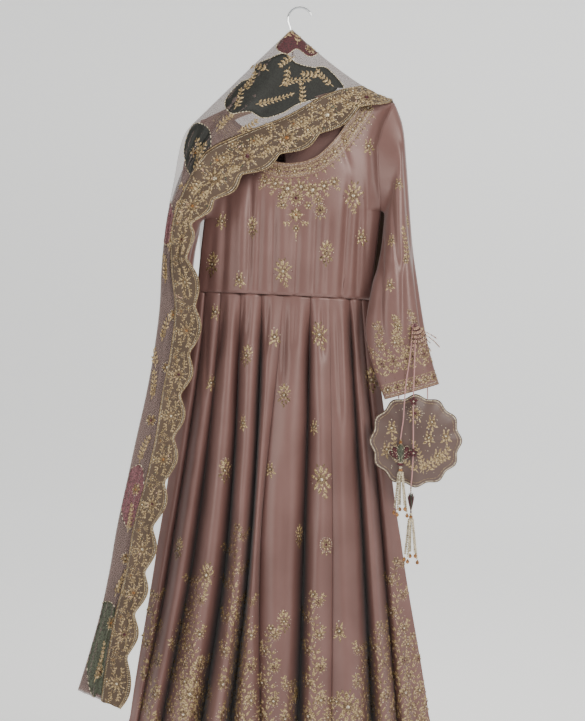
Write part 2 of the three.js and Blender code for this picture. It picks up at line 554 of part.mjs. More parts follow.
// One row of the draped sheet at a scallop's place along the border
function drapeRow(table, pleats, side, station) {
  const at = (column) => smoothColumn(table, station, column);
  const left = new THREE.Vector3(at('lx'), at('ly'), at('lz'));
  const right = new THREE.Vector3(at('rx'), at('ry'), at('rz'));
  const lift = Math.max(at('lift'), 0);
  const gather = clamp(at('gather'), 0, 1);
  const wide = left.distanceTo(right);
  const inner = 1 - at('band') / wide;
  const stack = pleats.spacing * (pleats.layers - 1);
  const place = (q, layerDepth) => {
    const hat = 1 - Math.abs(2 * q - 1);
    const rise = lift * Math.max(hat, 0) ** (q < 0.5 ? 0.95 : 1.3);
    const p = left.clone().lerp(right, q);
    p.z += rise;
    p.x -= lift * 0.03 * Math.max(hat, 0);
    p.y -= side * layerDepth * Math.min(1, gather * FOLD_EARLY);
    if (station < 1) p.y = side * Math.abs(p.y / station) * Math.sqrt(station);
    if (station === 0) {
      const slit = HOOK_SLIT * Math.exp(-(((q - 0.5) / 0.05) ** 2));
      p.y = side * (SEAM / 2 + slit);
    }
    return p;
  };
  const columns = pleatColumns(pleats);
  const count = columns.length - 1;
  const points = columns.map(({ layer, part, turn }, j) => {
    const front = layer === pleats.layers - 1;
    const reach = front ? inner - SEAM_HALF / wide : 1 - pleats.turn / wide;
    const bow = Math.sin(Math.PI * turn) * pleats.turn / wide;
    const folded = part * reach + (part > 0.5 ? bow : -bow);
    const flat = ((inner - SEAM_HALF / wide) * j) / count;
    const depth = (stack * (pleats.layers - 1 - layer - turn)) / (pleats.layers - 1);
    return place(lerp(flat, Math.max(folded, 0.01), gather), depth);
  });
  const bandPoints = [inner + SEAM_HALF / wide, (inner + 1) / 2, 1].map((q) => place(q, 0));
  return { points, bandPoints };
}

// The sheet has a row at each cusp and a few more near the ridge; the border's finer rows lie on
// straight lines between them, so that the two meet all along
function drapeStretch(table, pleats, side) {
  const last = table.length - 1;
  const stations = [0, 0.25, 0.5, 1, 1.5, ...Array.from({ length: last - 1 }, (_, k) => k + 2)];
  const rows = stations.map((station) => drapeRow(table, pleats, side, station));
  const band = [];
  let k = 0;
  for (let i = 0; i <= SCALLOP.steps * last; i += 1) {
    const station = i / SCALLOP.steps;
    while (k < stations.length - 2 && station >= stations[k + 1]) k += 1;
    const t = (station - stations[k]) / (stations[k + 1] - stations[k]);
    const row = rows[k].bandPoints.map((p, j) => p.clone().lerp(rows[k + 1].bandPoints[j], t));
    const outward = row[2].clone().sub(row[0]).normalize();
    row[2].addScaledVector(outward, SCALLOP.depth * Math.sin(Math.PI * station) ** 2);
    band.push(row);
  }
  return { sheet: rows.map((row) => row.points), band };
}

function addDupatta() {
  const ridgeSeat = (i) => (i === 0 ? [1] : []);
  const front = drapeStretch(DRAPE_FRONT, FRONT_PLEATS, -1);
  const back = drapeStretch(DRAPE_BACK, BACK_PLEATS, 1);
  add('dupatta_front', wall(front.sheet, NET, { seat: ridgeSeat }), net);
  add('dupatta_front_border', wall(front.band, BORDER, { seat: ridgeSeat }), zari);
  add('dupatta_back', wall(back.sheet, NET, { seat: ridgeSeat }), net);
  add('dupatta_back_border', wall(back.band, BORDER, { seat: ridgeSeat }), zari);
}

// Wrist pouch
function pouchSolid() {
  const around = POUCH.scallops * 4;
  const rings = [];
  const half = POUCH.thick / 2;
  for (const [reach, out] of [[0.5, -0.96], [0.82, -0.66], [1, -0.12], [1, 0.12], [0.82, 0.66], [0.5, 0.96]]) {
    const ring = [];
    for (let j = 0; j < around; j += 1) {
      const angle = (2 * Math.PI * j) / around;
      const wave = POUCH.wave * Math.cos(POUCH.scallops * angle) * reach ** 3;
      const r = POUCH.radius * reach + wave;
      ring.push(new THREE.Vector3(POUCH.x + r * Math.cos(angle), POUCH.y + out * half, POUCH.z + r * Math.sin(angle)));
    }
    rings.push(ring);
  }
  const pole = (side) => new THREE.Vector3(POUCH.x, POUCH.y + side * half, POUCH.z);
  return ringedSolid(rings, pole(-1), pole(1));
}

function charmSolid({ x, y, charmTop, charmWide, charmTall, charmThick }) {
  const rings = [];
  const profile = [[0.06, 0.18], [0.3, 0.62], [0.62, 1], [0.86, 0.7], [0.97, 0.3]];
  for (const [down, wide] of profile) {
    const ring = [];
    for (let j = 0; j < 8; j += 1) {
      const angle = (2 * Math.PI * j) / 8;
      const across = (charmWide / 2) * wide * Math.cos(angle);
      const through = (charmThick / 2) * wide * Math.sin(angle);
      ring.push(new THREE.Vector3(x + across, y + through, charmTop - down * charmTall));
    }
    rings.push(ring);
  }
  return ringedSolid(rings, new THREE.Vector3(x, y, charmTop), new THREE.Vector3(x, y, charmTop - charmTall));
}

// Merges solids into one body
const wasm = await Module();
wasm.setup();

function solidOf(geometry) {
  const bare = geometry.clone();
  for (const name of Object.keys(bare.attributes)) if (name !== 'position') bare.deleteAttribute(name);
  const merged = mergeVertices(bare, 1e-4);
  const vertProperties = new Float32Array(merged.attributes.position.array);
  const triVerts = new Uint32Array(merged.index.array);
  return new wasm.Manifold(new wasm.Mesh({ numProp: 3, vertProperties, triVerts }));
}

function fused(geometries) {
  const solid = geometries.map(solidOf).reduce((sum, next) => sum.add(next));
  const mesh = solid.getMesh();
  const geometry = new THREE.BufferGeometry();
  geometry.setAttribute('position', new THREE.Float32BufferAttribute(mesh.vertProperties, 3));
  geometry.setIndex(Array.from(mesh.triVerts));
  geometry.computeVertexNormals();
  return geometry;
}

// A turned solid of few sides from a profile of radius and height, placed at its top
function turned(profile, sides, x, y, z) {
  const points = profile.map(([radius, height]) => new THREE.Vector2(radius, height));
  const solid = new THREE.LatheGeometry(points, sides);
  solid.rotateX(Math.PI / 2);
  solid.translate(x, y, z);
  return solid;
}

// Pearl strands fused at their roots into a small round head under the charm
function tasselSolid({ x, y, charmTop, charmTall, strands, long }) {
  const top = charmTop - charmTall - SEAM;
  const head = turned([[0, -18], [5, -17], [7, -14], [3.2, -10], [3.6, -5], [2.4, -1], [0, 0]], 10, x, y, top);
  const pieces = [head];
  for (let k = 0; k < strands; k += 1) {
    const angle = (2 * Math.PI * k) / strands + 0.4;
    const [cx, cy] = [x + STRAND.pitch * Math.cos(angle), y + STRAND.pitch * Math.sin(angle)];
    const drop = long * (0.92 + 0.08 * Math.cos(2.4 * k));
    const profile = [
      [0, -drop], [STRAND.bead, 3 - drop], [STRAND.bead, 7 - drop], [STRAND.radius / 2, 9.5 - drop],
      [STRAND.radius, 13 - drop], [STRAND.radius, -2], [0, 0],
    ];
    pieces.push(turned(profile, 4, cx, cy, top - 15));
  }
  return fused(pieces);
}

// Bead fringe that falls from the knot on the sleeve
function fringeSolid() {
  const pieces = [turned([[0, -3], [4, -2], [4, 2], [0, 3]], 8, FRINGE.x, KNOT.y - KNOT.radius - 3.4, KNOT.z + 2)];
  for (let k = 0; k < FRINGE.strands; k += 1) {
    const lean = lerp(-0.25, 1, k / (FRINGE.strands - 1));
    const long = lerp(FRINGE.short, FRINGE.long, ((k * 5) % FRINGE.strands) / FRINGE.strands);
    const strand = turned([[0, -long], [1.5, 1.5 - long], [1.2, -1], [0, 0]], 3, 0, 0, 0);
    strand.rotateY(-lean);
    strand.translate(FRINGE.x, KNOT.y - KNOT.radius - 3.4 - (k % 2), KNOT.z + 2);
    pieces.push(strand);
  }
  return fused(pieces);
}

// A bead flower is a small disc with a wavy rim in front of its cord
function flowerSolid(x, y, z) {
  const around = FLOWER.petals * 4;
  const rings = [[0.98, 0.5], [0.8, -0.5]].map(([reach, out]) => Array.from({ length: around }, (_, j) => {
    const angle = (2 * Math.PI * j) / around;
    const r = reach * FLOWER.radius * (1 + 0.12 * Math.cos(FLOWER.petals * angle));
    return new THREE.Vector3(x + r * Math.sin(angle), y + out * FLOWER.thick, z + r * Math.cos(angle));
  }));
  return ringedSolid(rings, new THREE.Vector3(x, y + FLOWER.thick / 2, z), new THREE.Vector3(x, y - FLOWER.thick * 0.7, z));
}

function addPouch() {
  add('pouch', pouchSolid(), silk);
  add('pouch_loop', cord(POUCH_LOOP, CORD.radius, 16), cordSilk);
  add('cord_left', cord(CORD_LEFT, CORD.radius, 14), cordSilk);
  add('cord_right', cord(CORD_RIGHT, CORD.radius, 16), cordSilk);
  const knot = new THREE.SphereGeometry(KNOT.radius, 10, 6);
  knot.translate(KNOT.x, KNOT.y, KNOT.z);
  add('cord_knot', knot, cordSilk);
  add('knot_fringe', fringeSolid(), cordSilk);
  const before = CORD.radius + SEAM + FLOWER.thick / 2 + FLOWER.clear;
  const path = CORD_RIGHT.map(([x, y, z]) => ({ x, y, z }));
  FLOWER.heights.forEach((z, i) => {
    const flower = flowerSolid(read(path, 'z', z, 'x'), read(path, 'z', z, 'y') - before, z);
    add(`bead_flower_${i + 1}`, flower, maroon);
  });
  for (const tassel of TASSELS) {
    add(`charm_${tassel.name}`, charmSolid(tassel), maroon);
    add(`tassel_${tassel.name}`, tasselSolid(tassel), pearl);
  }
}

// Salwar: folded trousers, one thick slab hung over the bar inside the kameez
function addSalwar() {
  const inner = BAR.radius + SEAM;
  const outer = inner + SALWAR.thick;
  const shape = new THREE.Shape();
  shape.moveTo(outer, 0);
  shape.absarc(0, 0, outer, 0, Math.PI, false);
  shape.lineTo(-outer, -SALWAR.front);
  shape.lineTo(SALWAR.thick / 2 - outer, -SALWAR.front - 3);
  shape.lineTo(-inner, -SALWAR.front);
  shape.lineTo(-inner, 0);
  shape.absarc(0, 0, inner, Math.PI, 0, true);
  shape.lineTo(inner, -SALWAR.back);
  shape.lineTo(outer - SALWAR.thick / 2, -SALWAR.back - 3);
  shape.lineTo(outer, -SALWAR.back);
  shape.closePath();
  const long = SALWAR.right - SALWAR.left;
  const slab = new THREE.ExtrudeGeometry(shape, {
    depth: long - 4, bevelThickness: 2, bevelSize: 2, bevelOffset: -2, bevelSegments: 1, curveSegments: 6,
  });
  slab.translate(0, 0, 2);
  slab.rotateY(Math.PI / 2);
  slab.rotateX(Math.PI / 2);
  slab.translate(SALWAR.left, 0, 0);
  const frame = new THREE.Group();
  frame.position.set(HANGER.x, 0, HANGER.z);
  frame.rotation.y = -TILT;
  suit.add(frame);
  slab.translate(-HANGER.x, 0, BAR.drop);
  add('salwar_folded', slab, silk, frame);
}

addHanger();
addKameez();
addDupatta();
addPouch();
addSalwar();

export default suit;
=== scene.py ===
"""Salwar kameez suit of mauve satin with a net dupatta, on a wooden hanger.

Sizes in the tables are millimetres in the frame of the solids: the origin is the seat of the hook,
+X is to the right of the suit's front, +Z is up and the front faces -Y.
"""

import logging
import math
from collections.abc import Sequence
from dataclasses import dataclass, field
from enum import Enum

import bmesh
import bpy
import numpy as np
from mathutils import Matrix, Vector
from mathutils.bvhtree import BVHTree


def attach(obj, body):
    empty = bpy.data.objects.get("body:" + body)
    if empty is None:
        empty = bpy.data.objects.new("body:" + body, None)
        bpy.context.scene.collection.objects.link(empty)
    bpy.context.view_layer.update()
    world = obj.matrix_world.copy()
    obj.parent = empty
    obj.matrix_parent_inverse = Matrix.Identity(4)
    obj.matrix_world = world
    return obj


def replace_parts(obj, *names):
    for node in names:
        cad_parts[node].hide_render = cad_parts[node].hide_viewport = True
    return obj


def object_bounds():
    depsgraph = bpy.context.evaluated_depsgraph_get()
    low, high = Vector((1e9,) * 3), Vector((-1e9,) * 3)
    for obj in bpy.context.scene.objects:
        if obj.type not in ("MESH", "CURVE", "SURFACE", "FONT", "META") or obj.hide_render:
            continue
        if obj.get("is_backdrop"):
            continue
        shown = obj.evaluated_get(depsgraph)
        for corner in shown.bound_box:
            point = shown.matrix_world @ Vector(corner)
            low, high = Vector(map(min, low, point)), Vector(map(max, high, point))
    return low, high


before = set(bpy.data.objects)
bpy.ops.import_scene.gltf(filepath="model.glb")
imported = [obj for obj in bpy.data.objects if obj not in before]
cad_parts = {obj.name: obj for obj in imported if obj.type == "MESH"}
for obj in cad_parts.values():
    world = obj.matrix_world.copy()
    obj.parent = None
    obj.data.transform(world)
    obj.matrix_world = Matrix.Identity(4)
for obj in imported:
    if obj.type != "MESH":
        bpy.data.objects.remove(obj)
log = logging.getLogger("suit")

MM = 0.001
# Thickness of the satin and borders, of the net and of the patches on it, in millimetres
CLOTH_THICK = 1.3
NET_THICK = 0.5
PATCH_THICK = 0.4
# Half the gap left where two cloths meet at a seam
SEAM_GAP = 0.15
# Share of a cord's radius that the groove between its strands takes
GROOVE = 0.16
FRONT = -1
BACK = 1
WORDS = {FRONT: "front", BACK: "back"}
Array = np.ndarray
Value = float | np.ndarray
Spot = tuple[float, float]


def lerp(a: Value, b: Value, t: Value) -> Value:
    """Blend two values.

    Args:
        a: Value at 0.
        b: Value at 1.
        t: Share of the second value.

    Returns:
        The blend, a number or an array.
    """
    return a + (b - a) * t


def smooth(t: Value) -> Value:
    """Ease a share between 0 and 1.

    Args:
        t: Share, clipped to 0 to 1.

    Returns:
        The eased share.
    """
    t = np.clip(t, 0, 1)
    return t * t * (3 - 2 * t)


def curve(table: Array, at: Array) -> Array:
    """Follow a smooth curve through the rows of a table.

    Args:
        table: One row per station.
        at: Fractional rows.

    Returns:
        One row of values for each place.
    """
    last = len(table) - 1
    i = np.clip(np.floor(at).astype(int), 0, last - 1)
    t = (at - i).reshape(at.shape + (1,) * (table.ndim - 1))
    a, b, c, d = (table[np.clip(i + k, 0, last)] for k in (-1, 0, 1, 2))
    return b + 0.5 * t * (c - a + t * (2 * a - 5 * b + 4 * c - d + t * (3 * (b - c) + d - a)))


def grid_object(
    name: str, points: Array, closed: bool = False, shade: Array | None = None
) -> bpy.types.Object:
    """Make a sheet from a grid of points.

    Args:
        name: Name of the object.
        points: Millimetres, shaped rows x columns x 3.
        closed: Whether the last column joins the first.
        shade: How deep in a fold each point lies, from 0 to 1; it paints shade into the folds.

    Returns:
        The sheet, with a UV that runs over it in metres of cloth.
    """
    rows, columns = points.shape[:2]
    mesh = bpy.data.meshes.new(name)
    build = bmesh.new()
    bmesh.ops.create_grid(build, x_segments=columns - 1, y_segments=rows - 1, size=1.0)
    build.to_mesh(mesh)
    build.free()
    flat = np.empty(rows * columns * 3)
    mesh.vertices.foreach_get("co", flat)
    place = flat.reshape(-1, 3)
    column = np.rint((place[:, 0] + 1) / 2 * (columns - 1)).astype(int)
    row = np.rint((place[:, 1] + 1) / 2 * (rows - 1)).astype(int)
    mesh.vertices.foreach_set("co", (points[row, column] * MM).ravel())
    across = np.linalg.norm(np.diff(points, axis=1), axis=2).mean(axis=0).cumsum() * MM
    down = np.linalg.norm(np.diff(points, axis=0), axis=2).mean(axis=1).cumsum() * MM
    across, down = np.append(0, across), np.append(0, down)
    loops = np.empty(len(mesh.loops), dtype=int)
    mesh.loops.foreach_get("vertex_index", loops)
    # Painted shade: the fold attribute darkens the cloth's colour deep in its folds
    if shade is not None:
        depth = mesh.attributes.new("fold", "FLOAT", "POINT")
        depth.data.foreach_set("value", shade[row, column])
    layer = mesh.uv_layers.new(name="cloth")
    layer.data.foreach_set("uv", np.column_stack([across[column], down[row]])[loops].ravel())
    if closed:
        weld = bmesh.new()
        weld.from_mesh(mesh)
        bmesh.ops.remove_doubles(weld, verts=weld.verts, dist=1e-6)
        weld.to_mesh(mesh)
        weld.free()
    return link(name, mesh)


def link(name: str, mesh: bpy.types.Mesh) -> bpy.types.Object:
    """Put a mesh into the scene as a smooth-shaded object that rides on the root.

    Args:
        name: Name of the object.
        mesh: Its mesh.

    Returns:
        The object.
    """
    mesh.polygons.foreach_set("use_smooth", [True] * len(mesh.polygons))
    mesh.update()
    obj = bpy.data.objects.new(name, mesh)
    bpy.context.scene.collection.objects.link(obj)
    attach(obj, "root")
    log.info(
        "%s: %d faces, %.3f square metres", name, len(mesh.polygons), sum(face.area for face in mesh.polygons)
    )
    return obj


def solid_object(name: str, vertices: Array, faces: Sequence[Sequence[int]]) -> bpy.types.Object:
    """Make a closed body from corners and faces.

    Args:
        name: Name of the object.
        vertices: Millimetres, one row each.
        faces: Corner numbers of each face.

    Returns:
        The body, with its normals outward.
    """
    mesh = bpy.data.meshes.new(name)
    mesh.from_pydata((np.asarray(vertices) * MM).tolist(), [], faces)
    build = bmesh.new()
    build.from_mesh(mesh)
    bmesh.ops.recalc_face_normals(build, faces=build.faces)
    build.to_mesh(mesh)
    build.free()
    return link(name, mesh)


def thicken(obj: bpy.types.Object, thickness: float) -> None:
    """Give a sheet its thickness on both sides of its surface.

    Args:
        obj: The sheet.
        thickness: Millimetres.
    """
    shell = obj.modifiers.new("thickness", "SOLIDIFY")
    shell.thickness = thickness * MM
    shell.offset = 0


class Slot(Enum):
    """Names of the materials in the record."""

    SILK = "satin_silk"
    NET = "net"
    GOLD = "gold_embroidery"
    CORD = "twisted_cord"
    VELVET = "maroon_velvet"
    PEARL = "pearl_beads"
    WOOD = "hanger_wood"
    STEEL = "hook_steel"


def linear(colour: str) -> tuple[float, float, float, float]:
    """Convert an sRGB hex colour.

    Args:
        colour: Such as "#8a6c67".

    Returns:
        Linear red, green, blue and alpha.
    """
    parts = [int(colour[i : i + 2], 16) / 255 for i in (1, 3, 5)]
    return (*(p / 12.92 if p <= 0.04045 else ((p + 0.055) / 1.055) ** 2.4 for p in parts), 1.0)


@dataclass(frozen=True)
class Finish:
    """What one material looks like.

    Attributes:
        name: Name of the real material.
        slot: Its slot in the record.
        colour: sRGB hex.
        rough: Roughness.
        metal: Metallic.
        sheen: Weight of the sheen.
        alpha: Cover of an open net.
        grain: Threads or grains per metre for the bump, 0 for none.
        bump: Strength of the bump.
        second: Colour of the slow changes of tone.
        stretch: Scale of the grain along X, Y and Z.
    """

    name: str
    slot: Slot
    colour: str
    rough: float
    metal: float = 0.0
    sheen: float = 0.0
    alpha: float = 1.0
    grain: float = 0.0
    bump: float = 0.0
    second: str = ""
    stretch: tuple[float, float, float] = (1.0, 1.0, 1.0)


# Grain is in threads to the metre. Silk threads lie about 0.1 mm apart and net holes about 0.6 mm,
# too fine to show, so satin has one each 1.1 mm and net one each 1.4 mm. Beech grain of about 1 mm
# is drawn coarser too, stretched along the arms.

# Silk satin, woven with long floats and pressed: a soft broad sheen that breaks on each fold, with shade
# painted deep in the skirt's folds
SATIN = Finish("Mauve satin", Slot.SILK, "#745550", 0.4, 0.1, 0.2, grain=900, bump=0.12, second="#694b46")
# The same silk over wadding: duller, with painted shade that makes it darker, because it faces forward all
# over
SHADED_POUCH_SATIN = Finish(
    "Pouch satin", Slot.SILK, "#4f3c38", 0.45, 0.08, 0.1, grain=900, bump=0.12, second="#594640"
)
# Fine net, woven open: it only greys what lies behind it and closes where it lies in layers
TULLE = Finish(
    "Mauve tulle", Slot.NET, "#84706b", 0.75, 0.0, 0.2, alpha=0.3, grain=700, bump=0.05, second="#7c6a66"
)
# Metal thread, couched and cut into leaves: dull gold with small glints where it turns, partly its own shine
# and partly painted into its colour
ZARI = Finish("Gold zari", Slot.GOLD, "#978160", 0.36, 0.3)
# Dyed silk, cut out and sewn on the net: flat, dark and nearly without shine
APPLIQUE = Finish("Applique silk", Slot.NET, "#292a26", 0.65, 0.0, 0.05)
# Tissue under the border's threads: brown, rough and in shadow between the stitches
ZARI_GROUND = Finish(
    "Zari ground", Slot.GOLD, "#4f3e30", 0.6, 0.1, 0.1, grain=520, bump=0.5, second="#413123"
)
# Silk, twisted from two strands: light along the strands and dark in the grooves
SILK_CORD = Finish("Twisted silk cord", Slot.CORD, "#a97d7b", 0.55, 0.0, 0.4, grain=1500, bump=0.15)
# Cut pile, sewn over with beads: deep red that takes little light
VELVET = Finish(
    "Maroon velvet", Slot.VELVET, "#4f1f29", 0.7, 0.0, 0.15, grain=1200, bump=0.2, second="#45222a"
)
# Pressed glass seed beads: small sharp highlights on dusty pink
CORAL = Finish("Coral glass beads", Slot.CORD, "#b07b78", 0.3)
# Dipped glass pearls: creamy, with a smooth wide highlight
PEARL = Finish("Pearl beads", Slot.PEARL, "#d6c7b2", 0.28, 0.0, 0.1, second="#c2ad94")
# Beech, sawn, sanded and oiled: faint long grain and a low sheen
WOOD = Finish(
    "Beech wood", Slot.WOOD, "#a9825c", 0.5, grain=60, bump=0.15, second="#8f6a47", stretch=(0.15, 1, 1)
)
# Steel wire, bent and chromed: a bright mirror of the room
STEEL = Finish("Chromed steel", Slot.STEEL, "#c3c6c9", 0.22, 1.0)


def node(
    tree: bpy.types.NodeTree, kind: str, settings: dict | None = None, links: dict | None = None
) -> bpy.types.Node:
    """Add a node with its settings and links.

    Args:
        tree: The material's tree.
        kind: Node type.
        settings: Properties by name, or input values by socket name after "in:".
        links: Output sockets by the name of the input that they feed.

    Returns:
        The node.
    """
    made = tree.nodes.new(kind)
    for key, value in (settings or {}).items():
        if key.startswith("in:"):
            made.inputs[key[3:]].default_value = value
        else:
            setattr(made, key, value)
    for key, socket in (links or {}).items():
        tree.links.new(socket, made.inputs[key])
    return made


def ramp(
    tree: bpy.types.NodeTree, factor: bpy.types.NodeSocket, stops: Sequence[tuple[float, str]]
) -> bpy.types.Node:
    """Add a colour ramp.

    Args:
        tree: The material's tree.
        factor: Socket that drives it.
        stops: Place and sRGB hex of each stop.

    Returns:
        The ramp.
    """
    made = node(tree, "ShaderNodeValToRGB", links={"Fac": factor})
    elements = made.color_ramp.elements
    while len(elements) < len(stops):
        elements.new(0.5)
    for element, (place, colour) in zip(elements, stops):
        element.position = place
        element.color = linear(colour)
    return made


# Painted glints to the metre, light spots painted into the threads' colour with darker colour between: one
# each 2.4 mm, coarser than real thread, whose glints would not show
PAINTED_GLINTS = 420.0
# Slow changes of tone to the metre: one each 110 mm
DRIFT = 9.0
# Thread and bead colours that an element's tone picks out
TONES = (
    (0.0, "#46372a"), (0.12, "#7d684b"), (0.2, "#7d684b"), (0.27, "#b09a72"), (0.34, "#b09a72"),
    (0.4, "#d6cbb0"), (0.45, "#d6cbb0"), (0.49, "#4c141f"), (0.53, "#4c141f"), (0.58, "#74484f"),
    (0.63, "#74484f"), (0.68, "#181b16"), (0.73, "#181b16"), (0.78, "#434939"), (0.83, "#434939"),
    (0.88, "#a3703a"), (0.93, "#a3703a"), (0.97, "#cba890"),
)


class Tone(Enum):
    """Places of the thread colours on the tone ramp."""

    OLD_GOLD = 0.16
    GOLD = 0.3
    STONE = 0.42
    MAROON = 0.505
    PLUM = 0.6
    BLACK_GREEN = 0.7
    GREEN = 0.8
    COPPER = 0.9
    BLUSH = 1.0


def material(finish: Finish, toned: bool = False) -> bpy.types.Material:
    """Build a material from its finish.

    Args:
        finish: The finish.
        toned: Whether each element's tone sets the colour, with painted glints over it.

    Returns:
        The material.
    """
    name = f"{finish.name} threads" if toned else finish.name
    if name in bpy.data.materials:
        return bpy.data.materials[name]
    made = bpy.data.materials.new(name)
    made.use_nodes = True
    tree = made.node_tree
    tree.nodes.clear()
    surface = node(tree, "ShaderNodeBsdfPrincipled", {
        "in:Base Color": linear(finish.colour), "in:Roughness": finish.rough, "in:Metallic": finish.metal,
        "in:Sheen Weight": finish.sheen, "in:Sheen Roughness": 0.4, "in:Alpha": finish.alpha,
    })
    node(tree, "ShaderNodeOutputMaterial", links={"Surface": surface.outputs["BSDF"]})
    where = node(tree, "ShaderNodeTexCoord").outputs["Object"]
    if finish.stretch != (1.0, 1.0, 1.0):
        where = node(
            tree, "ShaderNodeMapping", {"in:Scale": finish.stretch}, {"Vector": where}
        ).outputs["Vector"]
    if toned or finish.second:
        if toned:
            tone = node(tree, "ShaderNodeAttribute", {"attribute_name": "tone"})
            # Painted glints: fine noise lightens the colour of threads and beads in small spots and darkens
            # it between them
            glint_noise = node(tree, "ShaderNodeTexNoise", {"in:Scale": PAINTED_GLINTS, "in:Detail": 1.0}, {"Vector": where})
            colours = ramp(tree, tone.outputs["Fac"], TONES)
            painted_light = ramp(tree, glint_noise.outputs["Fac"], ((0.38, "#8d8172"), (0.58, "#ffffff")))
        else:
            slow = node(tree, "ShaderNodeTexNoise", {"in:Scale": DRIFT, "in:Detail": 3.0}, {"Vector": where})
            colours = ramp(tree, slow.outputs["Fac"], ((0.35, finish.second), (0.65, finish.colour)))
            # Painted shade: the fold attribute darkens the colour deep in the skirt's folds
            depth = node(tree, "ShaderNodeAttribute", {"attribute_name": "fold"})
            painted_light = ramp(tree, depth.outputs["Fac"], ((0.0, "#ffffff"), (0.5, "#bdb0ae"), (1.0, "#6f5a58")))
        mixed = node(tree, "ShaderNodeMix", {"data_type": "RGBA", "blend_type": "MULTIPLY", "in:Factor": 1.0})
        tree.links.new(colours.outputs["Color"], mixed.inputs[6])
        tree.links.new(painted_light.outputs["Color"], mixed.inputs[7])
        tree.links.new(mixed.outputs[2], surface.inputs["Base Color"])
    if finish.grain:
        grain = node(
            tree, "ShaderNodeTexNoise", {"in:Scale": finish.grain, "in:Detail": 1.0}, {"Vector": where}
        )
        relief = node(
            tree, "ShaderNodeBump", {"in:Strength": finish.bump, "in:Distance": 0.001},
            {"Height": grain.outputs["Fac"]}
        )
        tree.links.new(relief.outputs["Normal"], surface.inputs["Normal"])
    return made


def dress(obj: bpy.types.Object, finish: Finish, toned: bool = False) -> None:
    """Give an object its one material.

    Args:
        obj: The object.
        finish: Its finish.
        toned: Whether each element's tone sets the colour.
    """
    obj.data.materials.clear()
    obj.data.materials.append(material(finish, toned))


def toned_piece(
    name: str, corners: Array, faces: list, tones: Array, finish: Finish, toned: bool = True,
) -> bpy.types.Object:
    """Join stitches or beads into one piece that knows the tone of each.

    Args:
        name: Name of the piece.
        corners: Millimetres, one row each.
        faces: Corner numbers of each face.
        tones: Tone of each corner.
        finish: Its finish.
        toned: Whether the tones set the colour.

    Returns:
        The piece.
    """
    mesh = bpy.data.meshes.new(name)
    mesh.from_pydata((corners * MM).tolist(), [], faces)
    tone = mesh.attributes.new("tone", "FLOAT", "POINT")
    tone.data.foreach_set("value", tones)
    piece = link(name, mesh)
    dress(piece, finish, toned)
    return piece


@dataclass
class Hanger:
    """Wooden hanger that hangs a little lower on its left.

    Attributes:
        x: Middle of the arms.
        z: Their height.
        span: Half their width.
        rise: Rise of the arms to the middle.
        tilt: Degrees that they lean.
    """

    x: float = -4
    z: float = -205
    span: float = 186
    rise: float = 50
    tilt: float = 5

    def arm_top(self, local: Array) -> Array:
        """Height of the arms in their own frame.

        Args:
            local: Places along the arms.

        Returns:
            Heights.
        """
        return self.rise * (1 - (np.minimum(np.abs(local), self.span) / self.span) ** 1.5)

    def arm_height(self, x: Array) -> Array:
        """Height of the arms under places in X.

        Args:
            x: Places in the row's frame.

        Returns:
            Heights in the row's frame.
        """
        sine, cosine = math.sin(math.radians(self.tilt)), math.cos(math.radians(self.tilt))
        local = x - self.x
        for _ in range(6):
            local = (x - self.x + self.arm_top(local) * sine) / cosine
        return self.z + local * sine + self.arm_top(local) * cosine

    def build(self) -> None:
        """Dress the arms, bar and hook."""
        for name, finish in (("hanger_arms", WOOD), ("hanger_bar", WOOD), ("hanger_hook", STEEL)):
            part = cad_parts[name]
            dress(part, finish)
            part.data.polygons.foreach_set("use_smooth", [name != "hanger_arms"] * len(part.data.polygons))


@dataclass(frozen=True)
class Crease:
    """One soft fold that runs down a cloth.

    Attributes:
        top: X at its upper end.
        foot: X at its lower end.
        high: Height of the upper end.
        low: Height of the lower end.
        wide: Half width.
        deep: Depth, negative for a ridge.
    """

    top: float
    foot: float
    high: float
    low: float
    wide: float
    deep: float

    def depth(self, x: Array, z: Array) -> Array:
        """How far the crease goes in.

        Args:
            x: Places.
            z: Heights.

        Returns:
            Depths in millimetres.
        """
        along = (self.high - z) / (self.high - self.low)
        centre = lerp(self.top, self.foot, along)
        fade = smooth(along * 3) * smooth((1 - along) * 3)
        return self.deep * fade * np.exp(-(((x - centre) / self.wide) ** 2))


DRAPES_FRONT = tuple(Crease(*row) for row in (
    (-168, -190, -400, -600, 9, 5), (-140, -154, -330, -610, 8, 6), (-112, -117, -310, -600, 9, -3),
    (-92, -101, -300, -590, 6, 6), (-74, -84, -330, -600, 5, 4), (-50, -55, -350, -610, 6, 5),
    (-32, -35, -320, -600, 9, -2.6), (-4, -14, -400, -610, 6, 5), (34, 23, -330, -620, 8, 6),
    (58, 50, -380, -600, 6, 3), (98, 77, -300, -620, 8, 7), (118, 107, -340, -600, 6, 5),
    (132, 128, -300, -560, 6, 4), (70, 100, -230, -330, 8, 3), (-120, -80, -250, -350, 9, 3),
))
DRAPES_BACK = tuple(Crease(*row) for row in (
    (-150, -172, -380, -600, 9, 5), (-110, -122, -320, -600, 8, 6), (-70, -80, -300, -610, 7, 5),
    (-30, -34, -330, -600, 9, 6), (6, 0, -360, -600, 6, 4), (44, 38, -300, -610, 8, 6),
    (86, 76, -340, -600, 7, 5), (122, 112, -310, -590, 7, 5),
))


